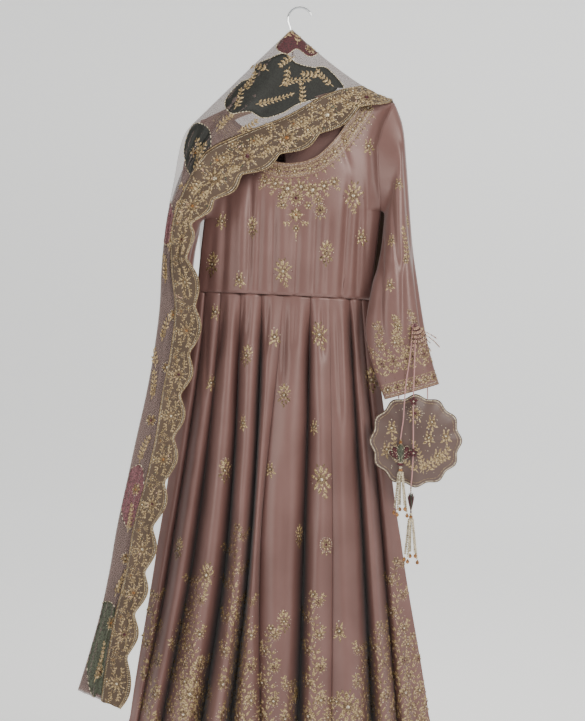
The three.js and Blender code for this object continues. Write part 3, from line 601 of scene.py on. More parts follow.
@dataclass
class Bodice:
    """Front or back of the kameez above the waist.

    Attributes:
        side: FRONT or BACK.
        neck: Depth of the neck under the shoulder line.
        drapes: Its soft vertical folds.
        hanger: Hanger that it hangs on.
        thick: Thickness of the cloth.
        over_arm: Rise of the shoulder seams over the arms.
        chest: How far the cloth stands out at the chest.
        chest_fall: Drop over which it comes out.
        armhole: Half depth of the armholes.
        strap_left: Share of the width where the neck starts.
        strap_right: Share of the width where it ends.
    """

    side: int
    neck: float
    drapes: tuple[Crease, ...]
    hanger: Hanger
    thick: float = CLOTH_THICK
    over_arm: float = 2.7
    chest: float = 29
    chest_fall: float = 70
    armhole: float = 32
    strap_left: float = 0.15
    strap_right: float = 0.832

    SIDE_RIGHT = np.array(
        [(-186, 184), (-230, 163), (-276, 150), (-340, 153), (-395, 158), (-480, 148), (-569, 137)], float
    )
    SIDE_LEFT = np.array(
        [(-220, -193), (-262, -173), (-308, -161), (-368, -172), (-410, -186), (-480, -194), (-553, -201)],
        float
    )
    # Values at the left and the right side: X of the shoulder seams' ends and of the hanger's ends,
    # heights of the armpit, of the shoulder's tip and of the waist seam
    SHOULDERS = (-193, 184)
    ARM_ENDS = (-188, 180)
    ARMPIT = (-410, -395)
    TIP = (-220, -186)
    WAIST = (-553, -569)
    # How far the cloth stands out, by the drop from the shoulder seam
    OVER_ARM = ((0, 0.4, 5, 14), (0.15, 4.6, 9.2, 10))
    # Last steps up to the seam, where the cloth curves most
    EDGE_STEPS = (11.5, 9, 7, 5, 3.4, 2, 1, 0.4, 0)

    @classmethod
    def side_x(cls, t: Array, z: Array) -> Array:
        """Place in X of a share of the width.

        Args:
            t: Shares from the left side.
            z: Heights.

        Returns:
            Places in X.
        """
        left = np.interp(-z, -cls.SIDE_LEFT[:, 0], cls.SIDE_LEFT[:, 1])
        right = np.interp(-z, -cls.SIDE_RIGHT[:, 0], cls.SIDE_RIGHT[:, 1])
        return lerp(left, right, t)

    def top_edge(self, t: Array) -> Array:
        """Height of the shoulder seams and of the scoop between them.

        Args:
            t: Shares of the width.

        Returns:
            Heights.
        """
        over = self.hanger.arm_height(lerp(*self.SHOULDERS, t)) + self.over_arm
        straps = lerp(*self.SHOULDERS, np.array([self.strap_left, self.strap_right]))
        ends = self.hanger.arm_height(straps) + self.over_arm
        w = np.clip((2 * (t - self.strap_left)) / (self.strap_right - self.strap_left) - 1, -1, 1)
        scoop = lerp(ends[0], ends[1], (w + 1) / 2) - self.neck * (1 - np.abs(w) ** 2.4) ** 0.62
        return np.where((t <= self.strap_left) | (t >= self.strap_right), over, scoop)

    def depth(self, t: Array, z: Array) -> Array:
        """How far the panel stands out of the middle plane.

        Args:
            t: Shares of the width.
            z: Heights.

        Returns:
            Depths.
        """
        x = self.side_x(t, z)
        down = np.maximum(self.hanger.arm_height(np.clip(x, *self.ARM_ENDS)) + self.over_arm - z, 0)
        over = np.interp(down, *self.OVER_ARM)
        middle = over + self.chest * (1 - np.exp(-down / self.chest_fall))
        tip = np.where(t < 0.5, self.TIP[0], self.TIP[1])
        armpit = np.where(t < 0.5, self.ARMPIT[0], self.ARMPIT[1])
        rise = np.clip(2 * (z - armpit) / (tip - armpit) - 1, -1, 1)
        armhole = np.where(z > armpit, self.armhole * np.sqrt(1 - rise**2), 0)
        bulge = 1 - np.abs(2 * t - 1) ** 3
        edge = armhole * np.abs(2 * t - 1) ** 14
        near = np.where(down < 15, np.maximum(over, edge), 0)
        out = np.maximum(middle * bulge + edge, near)
        give = np.minimum(bulge * 3, 1) * smooth((out - 6) / 12)
        folds = sum(drape.depth(x, z) for drape in self.drapes)
        return np.maximum(out - folds * give, SEAM_GAP)

    def points(self) -> Array:
        """Lay out the panel.

        Returns:
            Its grid of points, from the waist up.
        """
        neck = (1 - np.cos(np.linspace(0, np.pi, 90))) / 2
        t = np.concatenate([
            np.linspace(0, self.strap_left, 16)[:-1],
            lerp(self.strap_left, self.strap_right, neck),
            np.linspace(self.strap_right, 1, 17)[1:],
        ])
        top = self.top_edge(t)
        armpit = lerp(*self.ARMPIT, t)
        floor = np.minimum(armpit, top - 40)
        waist = lerp(*self.WAIST, t) + SEAM_GAP
        lower = [lerp(waist, floor, r) for r in 1 - np.linspace(1, 0, 34) ** 1.4]
        upper = [lerp(floor, top - 14, r) for r in np.linspace(0, 1, 48)[1:] ** 1.5]
        z = np.array(lower + upper + [top - step for step in self.EDGE_STEPS])
        width = np.broadcast_to(t, z.shape)
        out = self.depth(width, z)
        seam = (t <= self.strap_left) | (t >= self.strap_right)
        out[-1] = np.where(seam, SEAM_GAP, out[-1])
        return np.stack([self.side_x(width, z), self.side * out, z], axis=-1)

    def build(self) -> bpy.types.Object:
        """Make the panel.

        Returns:
            The panel.
        """
        word = WORDS[self.side]
        panel = grid_object(f"bodice_{word}_satin", self.points())
        thicken(panel, self.thick)
        dress(panel, SATIN)
        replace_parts(panel, f"bodice_{word}")
        return panel


GATHERS = tuple(Crease(*row) for row in (
    (-197, -203, -556, -690, 5, 4), (-177, -184, -556, -780, 5, 5), (-144, -160, -556, -720, 5, 6),
    (-119, -130, -556, -830, 5, 6), (-107, -116, -556, -700, 4, 5), (-95, -104, -556, -660, 4, 4),
    (-70, -84, -556, -860, 6, 6), (-60, -66, -556, -690, 4, 5), (-27, -34, -556, -760, 6, 6),
    (-8, -14, -556, -680, 4, 4), (16, 12, -556, -800, 6, 6), (43, 44, -556, -700, 5, 5),
    (70, 80, -556, -840, 5, 5), (94, 104, -556, -720, 5, 5), (126, 140, -556, -760, 5, 5),
))
RIPPLES = tuple(Crease(*row) for row in (
    (-225, -285, -760, -1290, 13, 7), (-168, -235, -780, -1400, 11, 6), (-118, -180, -900, -1500, 12, 7),
    (-116, -112, -840, -1250, 10, -5), (-96, -112, -1150, -1590, 12, 8), (-30, -36, -820, -1330, 12, 7),
    (-48, -40, -1200, -1590, 11, 7), (24, 30, -700, -1100, 11, 6), (34, 24, -1060, -1590, 13, 8),
    (92, 104, -760, -1300, 13, 8), (104, 110, -1240, -1590, 12, 8), (142, 178, -820, -1420, 12, 7),
    (170, 232, -900, -1500, 12, 7), (206, 250, -1180, -1590, 12, 7),
))


@dataclass
class Skirt:
    """Front or back of the kameez under the waist, in deep uneven folds.

    Attributes:
        side: FRONT or BACK.
        folds: X of each valley at the waist, the middle and the hem, and its depth.
        thick: Thickness of the cloth.
        steps: Columns of each fold.
        start: Share of their depth that the folds have at the waist.
        sway: How far the hem dips and rises with the folds.
    """

    side: int
    folds: Array
    thick: float = CLOTH_THICK
    steps: int = 20
    start: float = 0.08
    sway: float = 7

    # Height, left edge, right edge and half depth at each level
    SIDES = np.array([
        (-561, -201, 137, 37), (-800, -240, 166, 58), (-1037, -277, 197, 80), (-1378, -331, 251, 106),
        (-1560, -367, 283, 118),
    ], float)
    # Heights of the waist, the middle and the hem, and where the close rows under the waist end
    LEVELS = (-561, -1037, -1560)
    CLOSE_ROWS = -700
    # Height of the waist seam at the left and the right side
    WAIST = (-553, -569)
    # Half depth, in millimetres, under which the small folds fade, and shift of those at the back
    SHALLOW = 30
    BACK_SHIFT = 40

    def points(self) -> tuple[Array, Array]:
        """Lay out the panel.

        Returns:
            Its grid of points, from the waist down, and how deep in a fold each lies, for the painted shade.
        """
        waist, _, foot = self.LEVELS
        close = np.linspace(waist, self.CLOSE_ROWS, 28)[:-1]
        z = np.concatenate([close, np.linspace(self.CLOSE_ROWS, foot, 96)])
        along = np.interp(-z, -self.SIDES[:, 0], np.arange(len(self.SIDES)))
        left, right, depth = curve(self.SIDES[:, 1:], along).T[:, :, None]
        place = np.interp(-z, -np.array(self.LEVELS), np.arange(3.0))
        valleys = curve(self.folds[:, :3].T, place)
        stations = np.concatenate([left, valleys, right], axis=1)
        deeps = np.concatenate([[0], self.folds[:, 3], [0]])
        step = (1 - np.cos(np.linspace(0, np.pi, self.steps + 1)))[:-1] / 2
        count = len(deeps) - 1
        k = np.append(np.repeat(np.arange(count), self.steps), count - 1)
        s = np.append(np.tile(step, count), 1)
        x = lerp(stations[:, k], stations[:, k + 1], s)
        t = (x - left) / (right - left)
        envelope = depth * (1 - np.abs(2 * t - 1) ** 3)
        ridge = np.sin(np.pi * s) ** 0.75
        fall = np.clip((waist - z[:, None]) / (waist - foot), 0, 1)
        deep = np.minimum(lerp(deeps[k], deeps[k + 1], s) * lerp(self.start, 1, fall**0.8), 0.86 * envelope)
        level = np.broadcast_to(z[:, None], x.shape)
        seen = x if self.side == FRONT else -x - self.BACK_SHIFT
        small = sum(crease.depth(seen, level) for crease in GATHERS + RIPPLES)
        share = np.clip(envelope / self.SHALLOW, 0, 1)
        out = np.maximum(envelope - deep * (1 - ridge) - small * share, SEAM_GAP)
        tail = smooth((fall - 0.93) / 0.07)
        seam = lerp(*self.WAIST, t)
        z_out = np.where(fall > 0, level, seam - SEAM_GAP) - self.sway * (ridge - 0.5) * tail
        z_out += (seam - waist) * smooth(1 - fall / 0.1) * (fall > 0)
        # Painted shade: the deeper a point lies in a fold, the darker its satin is painted, fading out at the
        # waist
        shade = smooth((envelope - out) / (0.55 * depth + 6)) * smooth((fall + 0.02) / 0.15)
        return np.stack([x, self.side * out, z_out], axis=-1), shade

    def build(self) -> bpy.types.Object:
        """Make the panel.

        Returns:
            The panel.
        """
        word = WORDS[self.side]
        points, shade = self.points()
        panel = grid_object(f"skirt_{word}_satin", points, shade=shade)
        thicken(panel, self.thick)
        dress(panel, SATIN)
        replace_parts(panel, f"skirt_{word}")
        return panel


FOLDS_FRONT = np.array([
    (-185, -248, -337, 62), (-154, -203, -292, 66), (-115, -140, -209, 88), (-74, -94, -151, 96),
    (-33, -76, -72, 34), (20, 8, -8, 84), (57, 62, 57, 24), (96, 122, 145, 76), (120, 160, 196, 40),
], float)
FOLDS_BACK = np.array([
    (-178, -240, -318, 58), (-142, -190, -246, 74), (-96, -128, -182, 40), (-60, -84, -104, 90),
    (-14, -20, -40, 66), (24, 34, 22, 86), (62, 84, 98, 48), (98, 130, 160, 80), (122, 168, 226, 44),
], float)


@dataclass(frozen=True)
class Pucker:
    """A crease across or along a sleeve.

    Attributes:
        around: Turn round the arm at its middle, in radians from the inner edge over the front.
        along: Share of the length at its middle.
        lean: Turn gained over the whole length.
        wide: Half width in millimetres.
        long: Half length as a share of the sleeve.
        deep: Depth.
    """

    around: float
    along: float
    lean: float
    wide: float
    long: float
    deep: float


PUCKERS = tuple(Pucker(*row) for row in (
    (0.5, 0.45, 1.5, 7, 0.22, 5), (0.9, 0.62, 1.2, 6, 0.2, 5), (1.4, 0.4, 1.8, 7, 0.25, 5),
    (1.9, 0.66, -0.9, 6, 0.2, 4.5), (2.4, 0.3, 0.7, 8, 0.26, 5), (2.7, 0.7, -0.6, 6, 0.2, 4),
    (1.2, 0.18, 1.4, 7, 0.16, 4), (1.6, 0.86, 0.5, 5, 0.12, 3), (3.6, 0.4, -1.0, 8, 0.25, 5),
    (4.3, 0.6, 1.1, 7, 0.24, 5), (5.0, 0.3, -0.8, 8, 0.22, 5), (5.6, 0.62, 0.9, 6, 0.2, 4),
))


@dataclass
class Sleeve:
    """Long sleeve that hangs from the armhole.

    Attributes:
        sign: 1 for the right sleeve, -1 for the left one.
        rings: Outer and inner edge of each ring in X and Z, half depth and middle in Y.
        edge: The bodice's armhole edge as X by height.
        low: Height of the armpit.
        high: Height of the shoulder's tip.
        gap: Space to the armhole.
        thick: Thickness of the cloth.
        columns: Columns round the arm.
        rows: Rows down the arm.
        armhole: Half depth of the armhole.
    """

    sign: int
    rings: Array
    edge: Array
    low: float
    high: float
    gap: float = 0.3
    thick: float = CLOTH_THICK
    columns: int = 96
    rows: int = 130
    armhole: float = 32

    # Radius that turns a pucker's angle into millimetres
    MEAN_RADIUS = 45.0

    def points(self) -> Array:
        """Lay out the sleeve.

        Returns:
            Its grid of points, from the armhole down; the last column is the first again.
        """
        angle = np.linspace(0, 2 * np.pi, self.columns + 1)
        along = (1 - np.cos(angle)) / 2
        row = np.linspace(0, 1, self.rows) ** 1.15 * len(self.rings)
        first_z = lerp(self.low, self.high, along)
        first_x = np.interp(-first_z, -self.edge[:, 0], self.edge[:, 1]) + self.sign * self.gap
        rest = self.rings[:, None, :]
        xs = np.concatenate([first_x[None], lerp(rest[..., 2], rest[..., 0], along)])
        zs = np.concatenate([first_z[None], lerp(rest[..., 3], rest[..., 1], along)])
        ys = np.concatenate(
            [-self.armhole * np.sin(angle)[None], rest[..., 5] - rest[..., 4] * np.sin(angle)]
        )
        place = curve(np.stack([xs, ys, zs], axis=-1), row)
        share = (row / len(self.rings))[:, None]
        centre = place.mean(axis=1, keepdims=True)
        inward = centre - place
        inward /= np.maximum(np.linalg.norm(inward, axis=2, keepdims=True), 1)
        deep = np.zeros(place.shape[:2])
        for pucker in PUCKERS:
            off = angle - pucker.around - pucker.lean * (share - pucker.along)
            off = (off + np.pi) % (2 * np.pi) - np.pi
            across = (off * self.MEAN_RADIUS / pucker.wide) ** 2
            deep += pucker.deep * np.exp(-across - ((share - pucker.along) / pucker.long) ** 2)
        fade = smooth(share * 8) * lerp(1, 0.25, smooth((share - 0.85) / 0.15))
        return place + inward * (deep * fade)[..., None]

    def build(self) -> bpy.types.Object:
        """Make the sleeve.

        Returns:
            The sleeve.
        """
        name = f"sleeve_{'right' if self.sign > 0 else 'left'}"
        tube = grid_object(f"{name}_satin", self.points(), closed=True)
        thicken(tube, self.thick)
        dress(tube, SATIN)
        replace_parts(tube, name)
        return tube


SLEEVE_RIGHT = np.array([
    (200, -233, 165, -402, 42, -2), (207, -310, 163, -428, 50, -6), (213, -405, 158, -470, 54, -12),
    (218, -470, 150, -508, 53, -18), (224, -522, 139, -545, 48, -30), (238, -625, 126, -630, 35, -50),
    (253, -692, 141, -702, 25, -56), (265, -732, 162, -761, 18, -58),
], float)
SLEEVE_LEFT = np.array([
    (-218, -268, -194, -420, 42, 0), (-232, -342, -198, -442, 48, 2), (-242, -436, -206, -480, 50, 4),
    (-250, -522, -213, -543, 48, 6), (-260, -627, -224, -632, 46, 8), (-270, -704, -235, -708, 46, 8),
    (-281, -762, -243, -766, 45, 8),
], float)


@dataclass
class Kameez:
    """The dress: two bodice panels, two skirt panels and two sleeves.

    Attributes:
        hanger: Hanger that it hangs on.
        pieces: The panels by name.
    """

    hanger: Hanger
    pieces: dict[str, bpy.types.Object] = field(default_factory=dict)

    def build(self) -> None:
        """Make every panel."""
        made = [
            Bodice(FRONT, 124, DRAPES_FRONT, self.hanger).build(),
            Bodice(BACK, 62, DRAPES_BACK, self.hanger).build(),
            Skirt(FRONT, FOLDS_FRONT).build(),
            Skirt(BACK, FOLDS_BACK).build(),
            Sleeve(1, SLEEVE_RIGHT, Bodice.SIDE_RIGHT, -395, -186).build(),
            Sleeve(-1, SLEEVE_LEFT, Bodice.SIDE_LEFT, -410, -220).build(),
        ]
        self.pieces = {piece.name: piece for piece in made}


# lx, lz, ly, rx, rz, ry, lift, gather and band of each scallop's cusp
DRAPE_FRONT = np.array([
    (-203, -224, 0, 180, -177, 0, 160, 0, 56), (-216, -240, -30, 115, -198, -34, 118, 0, 62),
    (-226, -262, -44, 39, -251, -44, 96, 0.04, 64), (-233, -290, -54, -37, -292, -56, 76, 0.12, 64),
    (-241, -334, -62, -109, -333, -66, 56, 0.3, 62), (-251, -386, -68, -162, -382, -76, 34, 0.55, 58),
    (-259, -440, -72, -205, -428, -84, 14, 0.8, 40), (-264, -512, -76, -214, -492, -88, 4, 1, 34),
    (-268, -590, -78, -198, -584, -88, 0, 1, 40), (-279, -674, -78, -209, -674, -88, 0, 1, 38),
    (-293, -752, -80, -226, -752, -88, 0, 1, 36), (-311, -832, -82, -238, -832, -90, 0, 1, 36),
    (-329, -916, -84, -255, -916, -94, 0, 1, 38), (-347, -1000, -88, -277, -1000, -98, 0, 1, 38),
    (-361, -1084, -92, -291, -1084, -104, 0, 1, 38), (-377, -1160, -96, -310, -1162, -108, 0, 1, 38),
    (-397, -1234, -100, -324, -1243, -112, 0, 1, 38), (-419, -1306, -104, -336, -1338, -116, 0, 1, 40),
])
DRAPE_BACK = np.array([
    (-203, -224, 0, 180, -177, 0, 160, 0, 56), (-206, -262, 44, 176, -240, 42, 122, 0, 56),
    (-204, -352, 58, 174, -322, 54, 70, 0.08, 56), (-200, -462, 66, 170, -404, 62, 36, 0.2, 56),
    (-198, -572, 70, 160, -488, 66, 14, 0.3, 56), (-200, -682, 76, 150, -572, 70, 0, 0.38, 56),
    (-205, -792, 84, 144, -656, 78, 0, 0.42, 56), (-212, -902, 92, 140, -740, 86, 0, 0.44, 56),
    (-218, -1012, 102, 136, -824, 96, 0, 0.46, 56), (-222, -1122, 112, 132, -908, 104, 0, 0.46, 56),
    (-226, -1232, 120, 128, -992, 112, 0, 0.46, 56), (-228, -1330, 126, 124, -1076, 118, 0, 0.46, 56),
])


@dataclass
class Stretch:
    """One stretch of the dupatta: its net, folded into layers as it falls, and its scalloped border.

    Attributes:
        side: FRONT or BACK.
        table: A row for each cusp of the border.
        layers: How many layers the net is folded into.
        spacing: Space between two layers.
        turn: Radius of a turn.
        per_layer: Columns of each layer.
        per_turn: Columns of each turn between two layers.
        steps: Rows of the net between two cusps.
        band_steps: Rows of the border between two cusps.
        scallop: How far the scallops stand out.
    """

    side: int
    table: Array
    layers: int
    spacing: float
    turn: float
    per_layer: int = 18
    per_turn: int = 4
    steps: int = 8
    band_steps: int = 22
    scallop: float = 15

    # Place across, lean, half width, cusp where it starts and depth of each small fold
    RIPPLES = (
        (0.1, 0.004, 0.028, 0.3, 3.5), (0.22, 0.01, 0.03, 0.8, 4.5), (0.34, 0.006, 0.022, 0.4, -3),
        (0.43, 0.012, 0.03, 1, 5), (0.56, 0.004, 0.024, 0.6, 3.5), (0.66, 0.01, 0.03, 1.2, -3),
        (0.8, -0.01, 0.03, 0.6, 4), (0.9, -0.004, 0.02, 1, 2.5),
    )

    def columns(self) -> tuple[Array, Array, Array]:
        """Lay the cloth's columns over the layers, from the far edge to the border.

        Returns:
            Layer, share of the width and share of the turn of each column.
        """
        layer, part, turn = [], [], []
        for n in range(self.layers):
            rightward = (self.layers - 1 - n) % 2 == 0
            run = np.linspace(0, 1, self.per_layer)
            part.append(run if rightward else 1 - run)
            turn.append(np.zeros(self.per_layer))
            layer.append(np.full(self.per_layer, n))
            if n < self.layers - 1:
                part.append(np.full(self.per_turn, 1.0 if rightward else 0.0))
                turn.append(np.linspace(0, 1, self.per_turn + 2)[1:-1])
                layer.append(np.full(self.per_turn, n))
        return np.concatenate(layer), np.concatenate(part), np.concatenate(turn)

    def place(self, at: Array, q: Array, deep: Array) -> Array:
        """Put a share of the row's width in space.

        Args:
            at: Stations down the border, one per row.
            q: Shares of the width.
            deep: Depth of the layer behind the front one.

        Returns:
            Points.
        """
        row = curve(self.table, at)
        lx, lz, ly, rx, rz, ry, lift, gather, _ = (row[:, k : k + 1] for k in range(9))
        lift = np.maximum(lift, 0)
        hat = np.maximum(1 - np.abs(2 * q - 1), 0)
        x = lerp(lx, rx, q) - 0.03 * lift * hat
        z = lerp(lz, rz, q) + lift * np.where(q < 0.5, hat**0.95, hat**1.3)
        y = lerp(ly, ry, q) - self.side * deep * np.clip(gather * 2.5, 0, 1)
        station = at[:, None]
        near = self.side * np.abs(y / np.maximum(station, 1e-3)) * np.sqrt(station)
        y = np.where(station < 1, near, y)
        slit = self.side * (0.15 + 3.1 * np.exp(-(((q - 0.5) / 0.05) ** 2)))
        y = np.where(station < 0.001, slit, y)
        ripple = sum(
            size * np.exp(-(((q - where - lean * (station - 3)) / wide) ** 2)) * smooth((station - begin) / 2)
            for where, lean, wide, begin, size in self.RIPPLES
        )
        return np.stack([x, y + self.side * ripple, z], axis=-1)

    def net_points(self) -> Array:
        """Lay out the net.

        Returns:
            Its grid of points.
        """
        last = len(self.table) - 1
        at = np.concatenate(
            [np.linspace(0, 1, 14)[:-1] ** 1.5, np.linspace(1, last, self.steps * (last - 1) + 1)]
        )
        row = curve(self.table, at)
        wide = np.linalg.norm(row[:, [0, 2, 1]] - row[:, [3, 5, 4]], axis=1)[:, None]
        inner = 1 - row[:, 8:9] / wide
        gather = np.clip(row[:, 7:8], 0, 1)
        layer, part, turn = self.columns()
        front = layer == self.layers - 1
        reach = np.where(front, inner - 0.2 / wide, 1 - self.turn / wide)
        bow = np.sin(np.pi * turn) * self.turn / wide
        folded = np.maximum(part * reach + np.where(part > 0.5, bow, -bow), 0.01)
        flat = (inner - 0.2 / wide) * np.linspace(0, 1, len(layer))
        deep = self.spacing * (self.layers - 1 - layer - turn)
        return self.place(at, lerp(flat, folded, gather), deep)

    def border_points(self) -> Array:
        """Lay out the border.

        Returns:
            Its grid of points, pushed out to its scallops at the edge.
        """
        last = len(self.table) - 1
        at = np.linspace(0, last, self.band_steps * last + 1)
        row = curve(self.table, at)
        wide = np.linalg.norm(row[:, [0, 2, 1]] - row[:, [3, 5, 4]], axis=1)[:, None]
        inner = 1 - row[:, 8:9] / wide
        share = np.linspace(0, 1, 9)
        points = self.place(at, lerp(inner + 0.2 / wide, 1, share), np.zeros(1))
        outward = points[:, -1] - points[:, 0]
        outward /= np.linalg.norm(outward, axis=1, keepdims=True)
        bulge = self.scallop * np.abs(np.sin(np.pi * at)) ** 1.3
        return points + outward[:, None] * bulge[:, None, None] * (share**2)[:, None]

    def build(self) -> list[bpy.types.Object]:
        """Make the net and the border.

        Returns:
            Both pieces.
        """
        word = WORDS[self.side]
        net = grid_object(f"dupatta_{word}_net", self.net_points())
        thicken(net, NET_THICK)
        dress(net, TULLE)
        border = grid_object(f"dupatta_{word}_band", self.border_points())
        thicken(border, CLOTH_THICK)
        dress(border, ZARI_GROUND)
        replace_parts(net, f"dupatta_{word}")
        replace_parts(border, f"dupatta_{word}_border")
        return [net, border]


@dataclass
class Dupatta:
    """Long scarf over the hanger, with one stretch in front and one behind.

    Attributes:
        stretches: The front and the back one.
        pieces: Their cloths by name.
    """

    stretches: tuple[Stretch, Stretch] = field(default_factory=lambda: (
        Stretch(FRONT, DRAPE_FRONT, 5, 4.6, 2.3), Stretch(BACK, DRAPE_BACK, 3, 9, 4.5),
    ))
    pieces: dict[str, bpy.types.Object] = field(default_factory=dict)

    def build(self) -> None:
        """Make both stretches."""
        self.pieces = {piece.name: piece for stretch in self.stretches for piece in stretch.build()}


def tube(
    points: Array, radius: float, sides: int = 10, lobes: int = 0, pitch: float = 6
) -> tuple[Array, list[list[int]]]:
    """Sweep a round or twisted section along a route.

    Args:
        points: The route in millimetres.
        radius: Radius of the section.
        sides: Corners of the section.
        lobes: Strands that the section shows, 0 for a plain one.
        pitch: Length of one turn of the strands.

    Returns:
        Corners and faces, closed at both ends.
    """
    along = np.gradient(points, axis=0)
    along /= np.linalg.norm(along, axis=1, keepdims=True)
    normal = np.cross(along[0], (0.3, 1.0, 0.2))
    length = np.append(0, np.linalg.norm(np.diff(points, axis=0), axis=1).cumsum())
    corners = []
    for k, (point, way) in enumerate(zip(points, along)):
        normal = normal - way * normal.dot(way)
        normal /= np.linalg.norm(normal)
        other = np.cross(way, normal)
        angle = np.linspace(0, 2 * np.pi, sides, endpoint=False)
        groove = 1 - np.abs(np.cos(lobes / 2 * (angle - 2 * np.pi * length[k] / pitch)))
        size = (radius * (1 - GROOVE * groove))[:, None]
        corners.append(point + size * (np.cos(angle)[:, None] * normal + np.sin(angle)[:, None] * other))
    faces = []
    for k in range(len(points) - 1):
        for j in range(sides):
            a, b = k * sides + j, k * sides + (j + 1) % sides
            faces.append([a, b, b + sides, a + sides])
    faces.append(list(range(sides))[::-1])
    faces.append([len(points) * sides - sides + j for j in range(sides)])
    return np.concatenate(corners), faces


def routed(table: Sequence[Sequence[float]], count: int) -> Array:
    """Follow a smooth route through listed points.

    Args:
        table: Points in millimetres.
        count: Points wanted.

    Returns:
        The route.
    """
    points = np.array(table, float)
    return curve(points, np.linspace(0, len(points) - 1, count))


CORD_LEFT = (
    (212.6, -84, -626.9), (211.8, -85.9, -635.7), (211, -87.4, -645), (209.7, -87.6, -659.4),
    (208, -87, -675), (205.6, -86.4, -692.5), (203, -85.6, -710), (200.8, -84.8, -725.1), (199, -84, -740),
    (197.9, -83.6, -755), (197, -83.4, -770), (196.1, -83.2, -785.4), (195, -83, -800),
    (193.5, -82.7, -810.4), (192, -82.4, -820), (191, -82.2, -828), (190, -82, -835.7),
)
CORD_RIGHT = (
    (216.4, -84, -626.9), (216.8, -86, -635.7), (217, -87.6, -645), (216.9, -87.7, -659.4),
    (216.5, -87, -675), (216, -86.4, -692.5), (215.5, -85.6, -710), (215, -84.7, -724.9), (214.5, -84, -740),
    (214.2, -83.7, -759.6), (214, -83.6, -780), (214, -83.5, -800), (214, -83.4, -820), (214, -83.2, -840),
    (213.8, -83, -860), (213.1, -82.7, -880.5), (212, -82.4, -900), (210.8, -82.2, -913.5),
    (209.5, -82, -926.3),
)
POUCH_LOOP = (
    (188, -62, -760), (187.7, -62, -750.4), (187.5, -62, -740), (187.3, -61.7, -720.4), (188, -62, -700),
    (189.7, -63.4, -684.9), (193, -66, -672), (197.4, -69.5, -663.9), (203, -73, -658),
    (208.3, -75.4, -655.1), (214, -76.6, -654), (219.6, -75.4, -655.1), (225, -73, -658),
    (231, -69.5, -663.9), (236, -66, -672), (239.8, -63.4, -685), (242, -62, -700), (242.9, -61.7, -717.6),
    (243, -62, -735), (243, -62, -747.7), (243, -62, -759.8),
)


@dataclass
class Cords:
    """Twisted cords of the pouch.

    Attributes:
        radius: Outer radius of a cord.
        routes: Line of each cord, in metres.
        pieces: The cords by the name of their CAD node.
    """

    radius: float = 1.2
    routes: dict[str, Array] = field(default_factory=dict)
    pieces: dict[str, bpy.types.Object] = field(default_factory=dict)

    TABLES = (("pouch_loop", POUCH_LOOP), ("cord_left", CORD_LEFT), ("cord_right", CORD_RIGHT))
    ENDS = (
        ("pouch_loop", "object", ()),
        ("cord_left", "fitting", ("charm_left_velvet", "charm_left_gilt")),
        ("cord_right", "fitting", (
            "bead_flower_1_velvet", "bead_flower_2_velvet", "charm_right_velvet", "charm_right_gilt",
        )),
    )

    def build(self) -> None:
        """Make the three cords."""
        for name, table in self.TABLES:
            route = routed(table, 150)
            corners, faces = tube(route, self.radius, sides=10, lobes=2, pitch=5)
            cord = solid_object(f"{name}_silk", corners, faces)
            dress(cord, SILK_CORD)
            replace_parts(cord, name)
            self.routes[name] = route * MM
            self.pieces[name] = cord


@dataclass
class Pouch:
    """Round flat pouch with a scalloped rim, softly filled.

    Attributes:
        centre: Its middle.
        radius: Mean radius.
        scallops: Waves of the rim.
        wave: Half their height.
        thick: Thickness at the middle.
    """

    centre: tuple[float, float, float] = (220, -62, -840)
    radius: float = 86
    scallops: int = 12
    wave: float = 3.2
    thick: float = 29

    def rim(self, angle: Array, share: Array) -> Array:
        """Distance from the middle.

        Args:
            angle: Turns round the middle.
            share: Shares of the way out.

        Returns:
            Distances.
        """
        return self.radius * share + self.wave * np.cos(self.scallops * angle) * share**3

    def crown(self, angle: Array, share: Array) -> Array:
        """Half thickness of the filled pouch.

        Args:
            angle: Turns round the middle.
            share: Shares of the way out.

        Returns:
            Half thicknesses.
        """
        pucker = 1.1 * np.cos(self.scallops * angle + 0.7 * np.sin(3 * angle)) * smooth((share - 0.45) / 0.5)
        slack = 0.9 * np.sin(2.3 * angle + 5 * share) * np.sin(np.pi * share)
        dome = (1 - share**2.6) ** 0.62
        return self.thick / 2 * dome + (pucker + slack) * dome

    def build(self) -> bpy.types.Object:
        """Make the pouch.

        Returns:
            The pouch.
        """
        around = np.linspace(0, 2 * np.pi, 192, endpoint=False)
        shares = np.sin(np.linspace(0, np.pi / 2, 40))[1:]
        corners, faces = [], []
        for side in (FRONT, BACK):
            corners.append(
                np.array([[self.centre[0], self.centre[1] + side * self.thick / 2, self.centre[2]]])
            )
            for share in shares:
                r = self.rim(around, share)
                out = side * np.maximum(self.crown(around, share), 0.2)
                corners.append(np.column_stack([
                    self.centre[0] + r * np.cos(around), self.centre[1] + out,
                    self.centre[2] + r * np.sin(around),
                ]))
        per_side = 1 + len(shares) * len(around)
        for side in range(2):
            base = side * per_side
            for j in range(len(around)):
                k = (j + 1) % len(around)
                faces.append([base, base + 1 + j, base + 1 + k])
                for i in range(len(shares) - 1):
                    a, b = base + 1 + i * len(around), base + 1 + (i + 1) * len(around)
                    faces.append([a + j, b + j, b + k, a + k])
        rim = 1 + (len(shares) - 1) * len(around)
        for j in range(len(around)):
            k = (j + 1) % len(around)
            faces.append([rim + j, rim + per_side + j, rim + per_side + k, rim + k])
        body = solid_object("pouch_satin", np.concatenate(corners), faces)
        # The pouch's satin is the kameez silk painted darker, as shade
        dress(body, SHADED_POUCH_SATIN)
        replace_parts(body, "pouch")
        return body


class Stitch(Enum):
    """Shapes that the embroidery is made of."""

    LEAF = "leaf"
    BEAD = "bead"


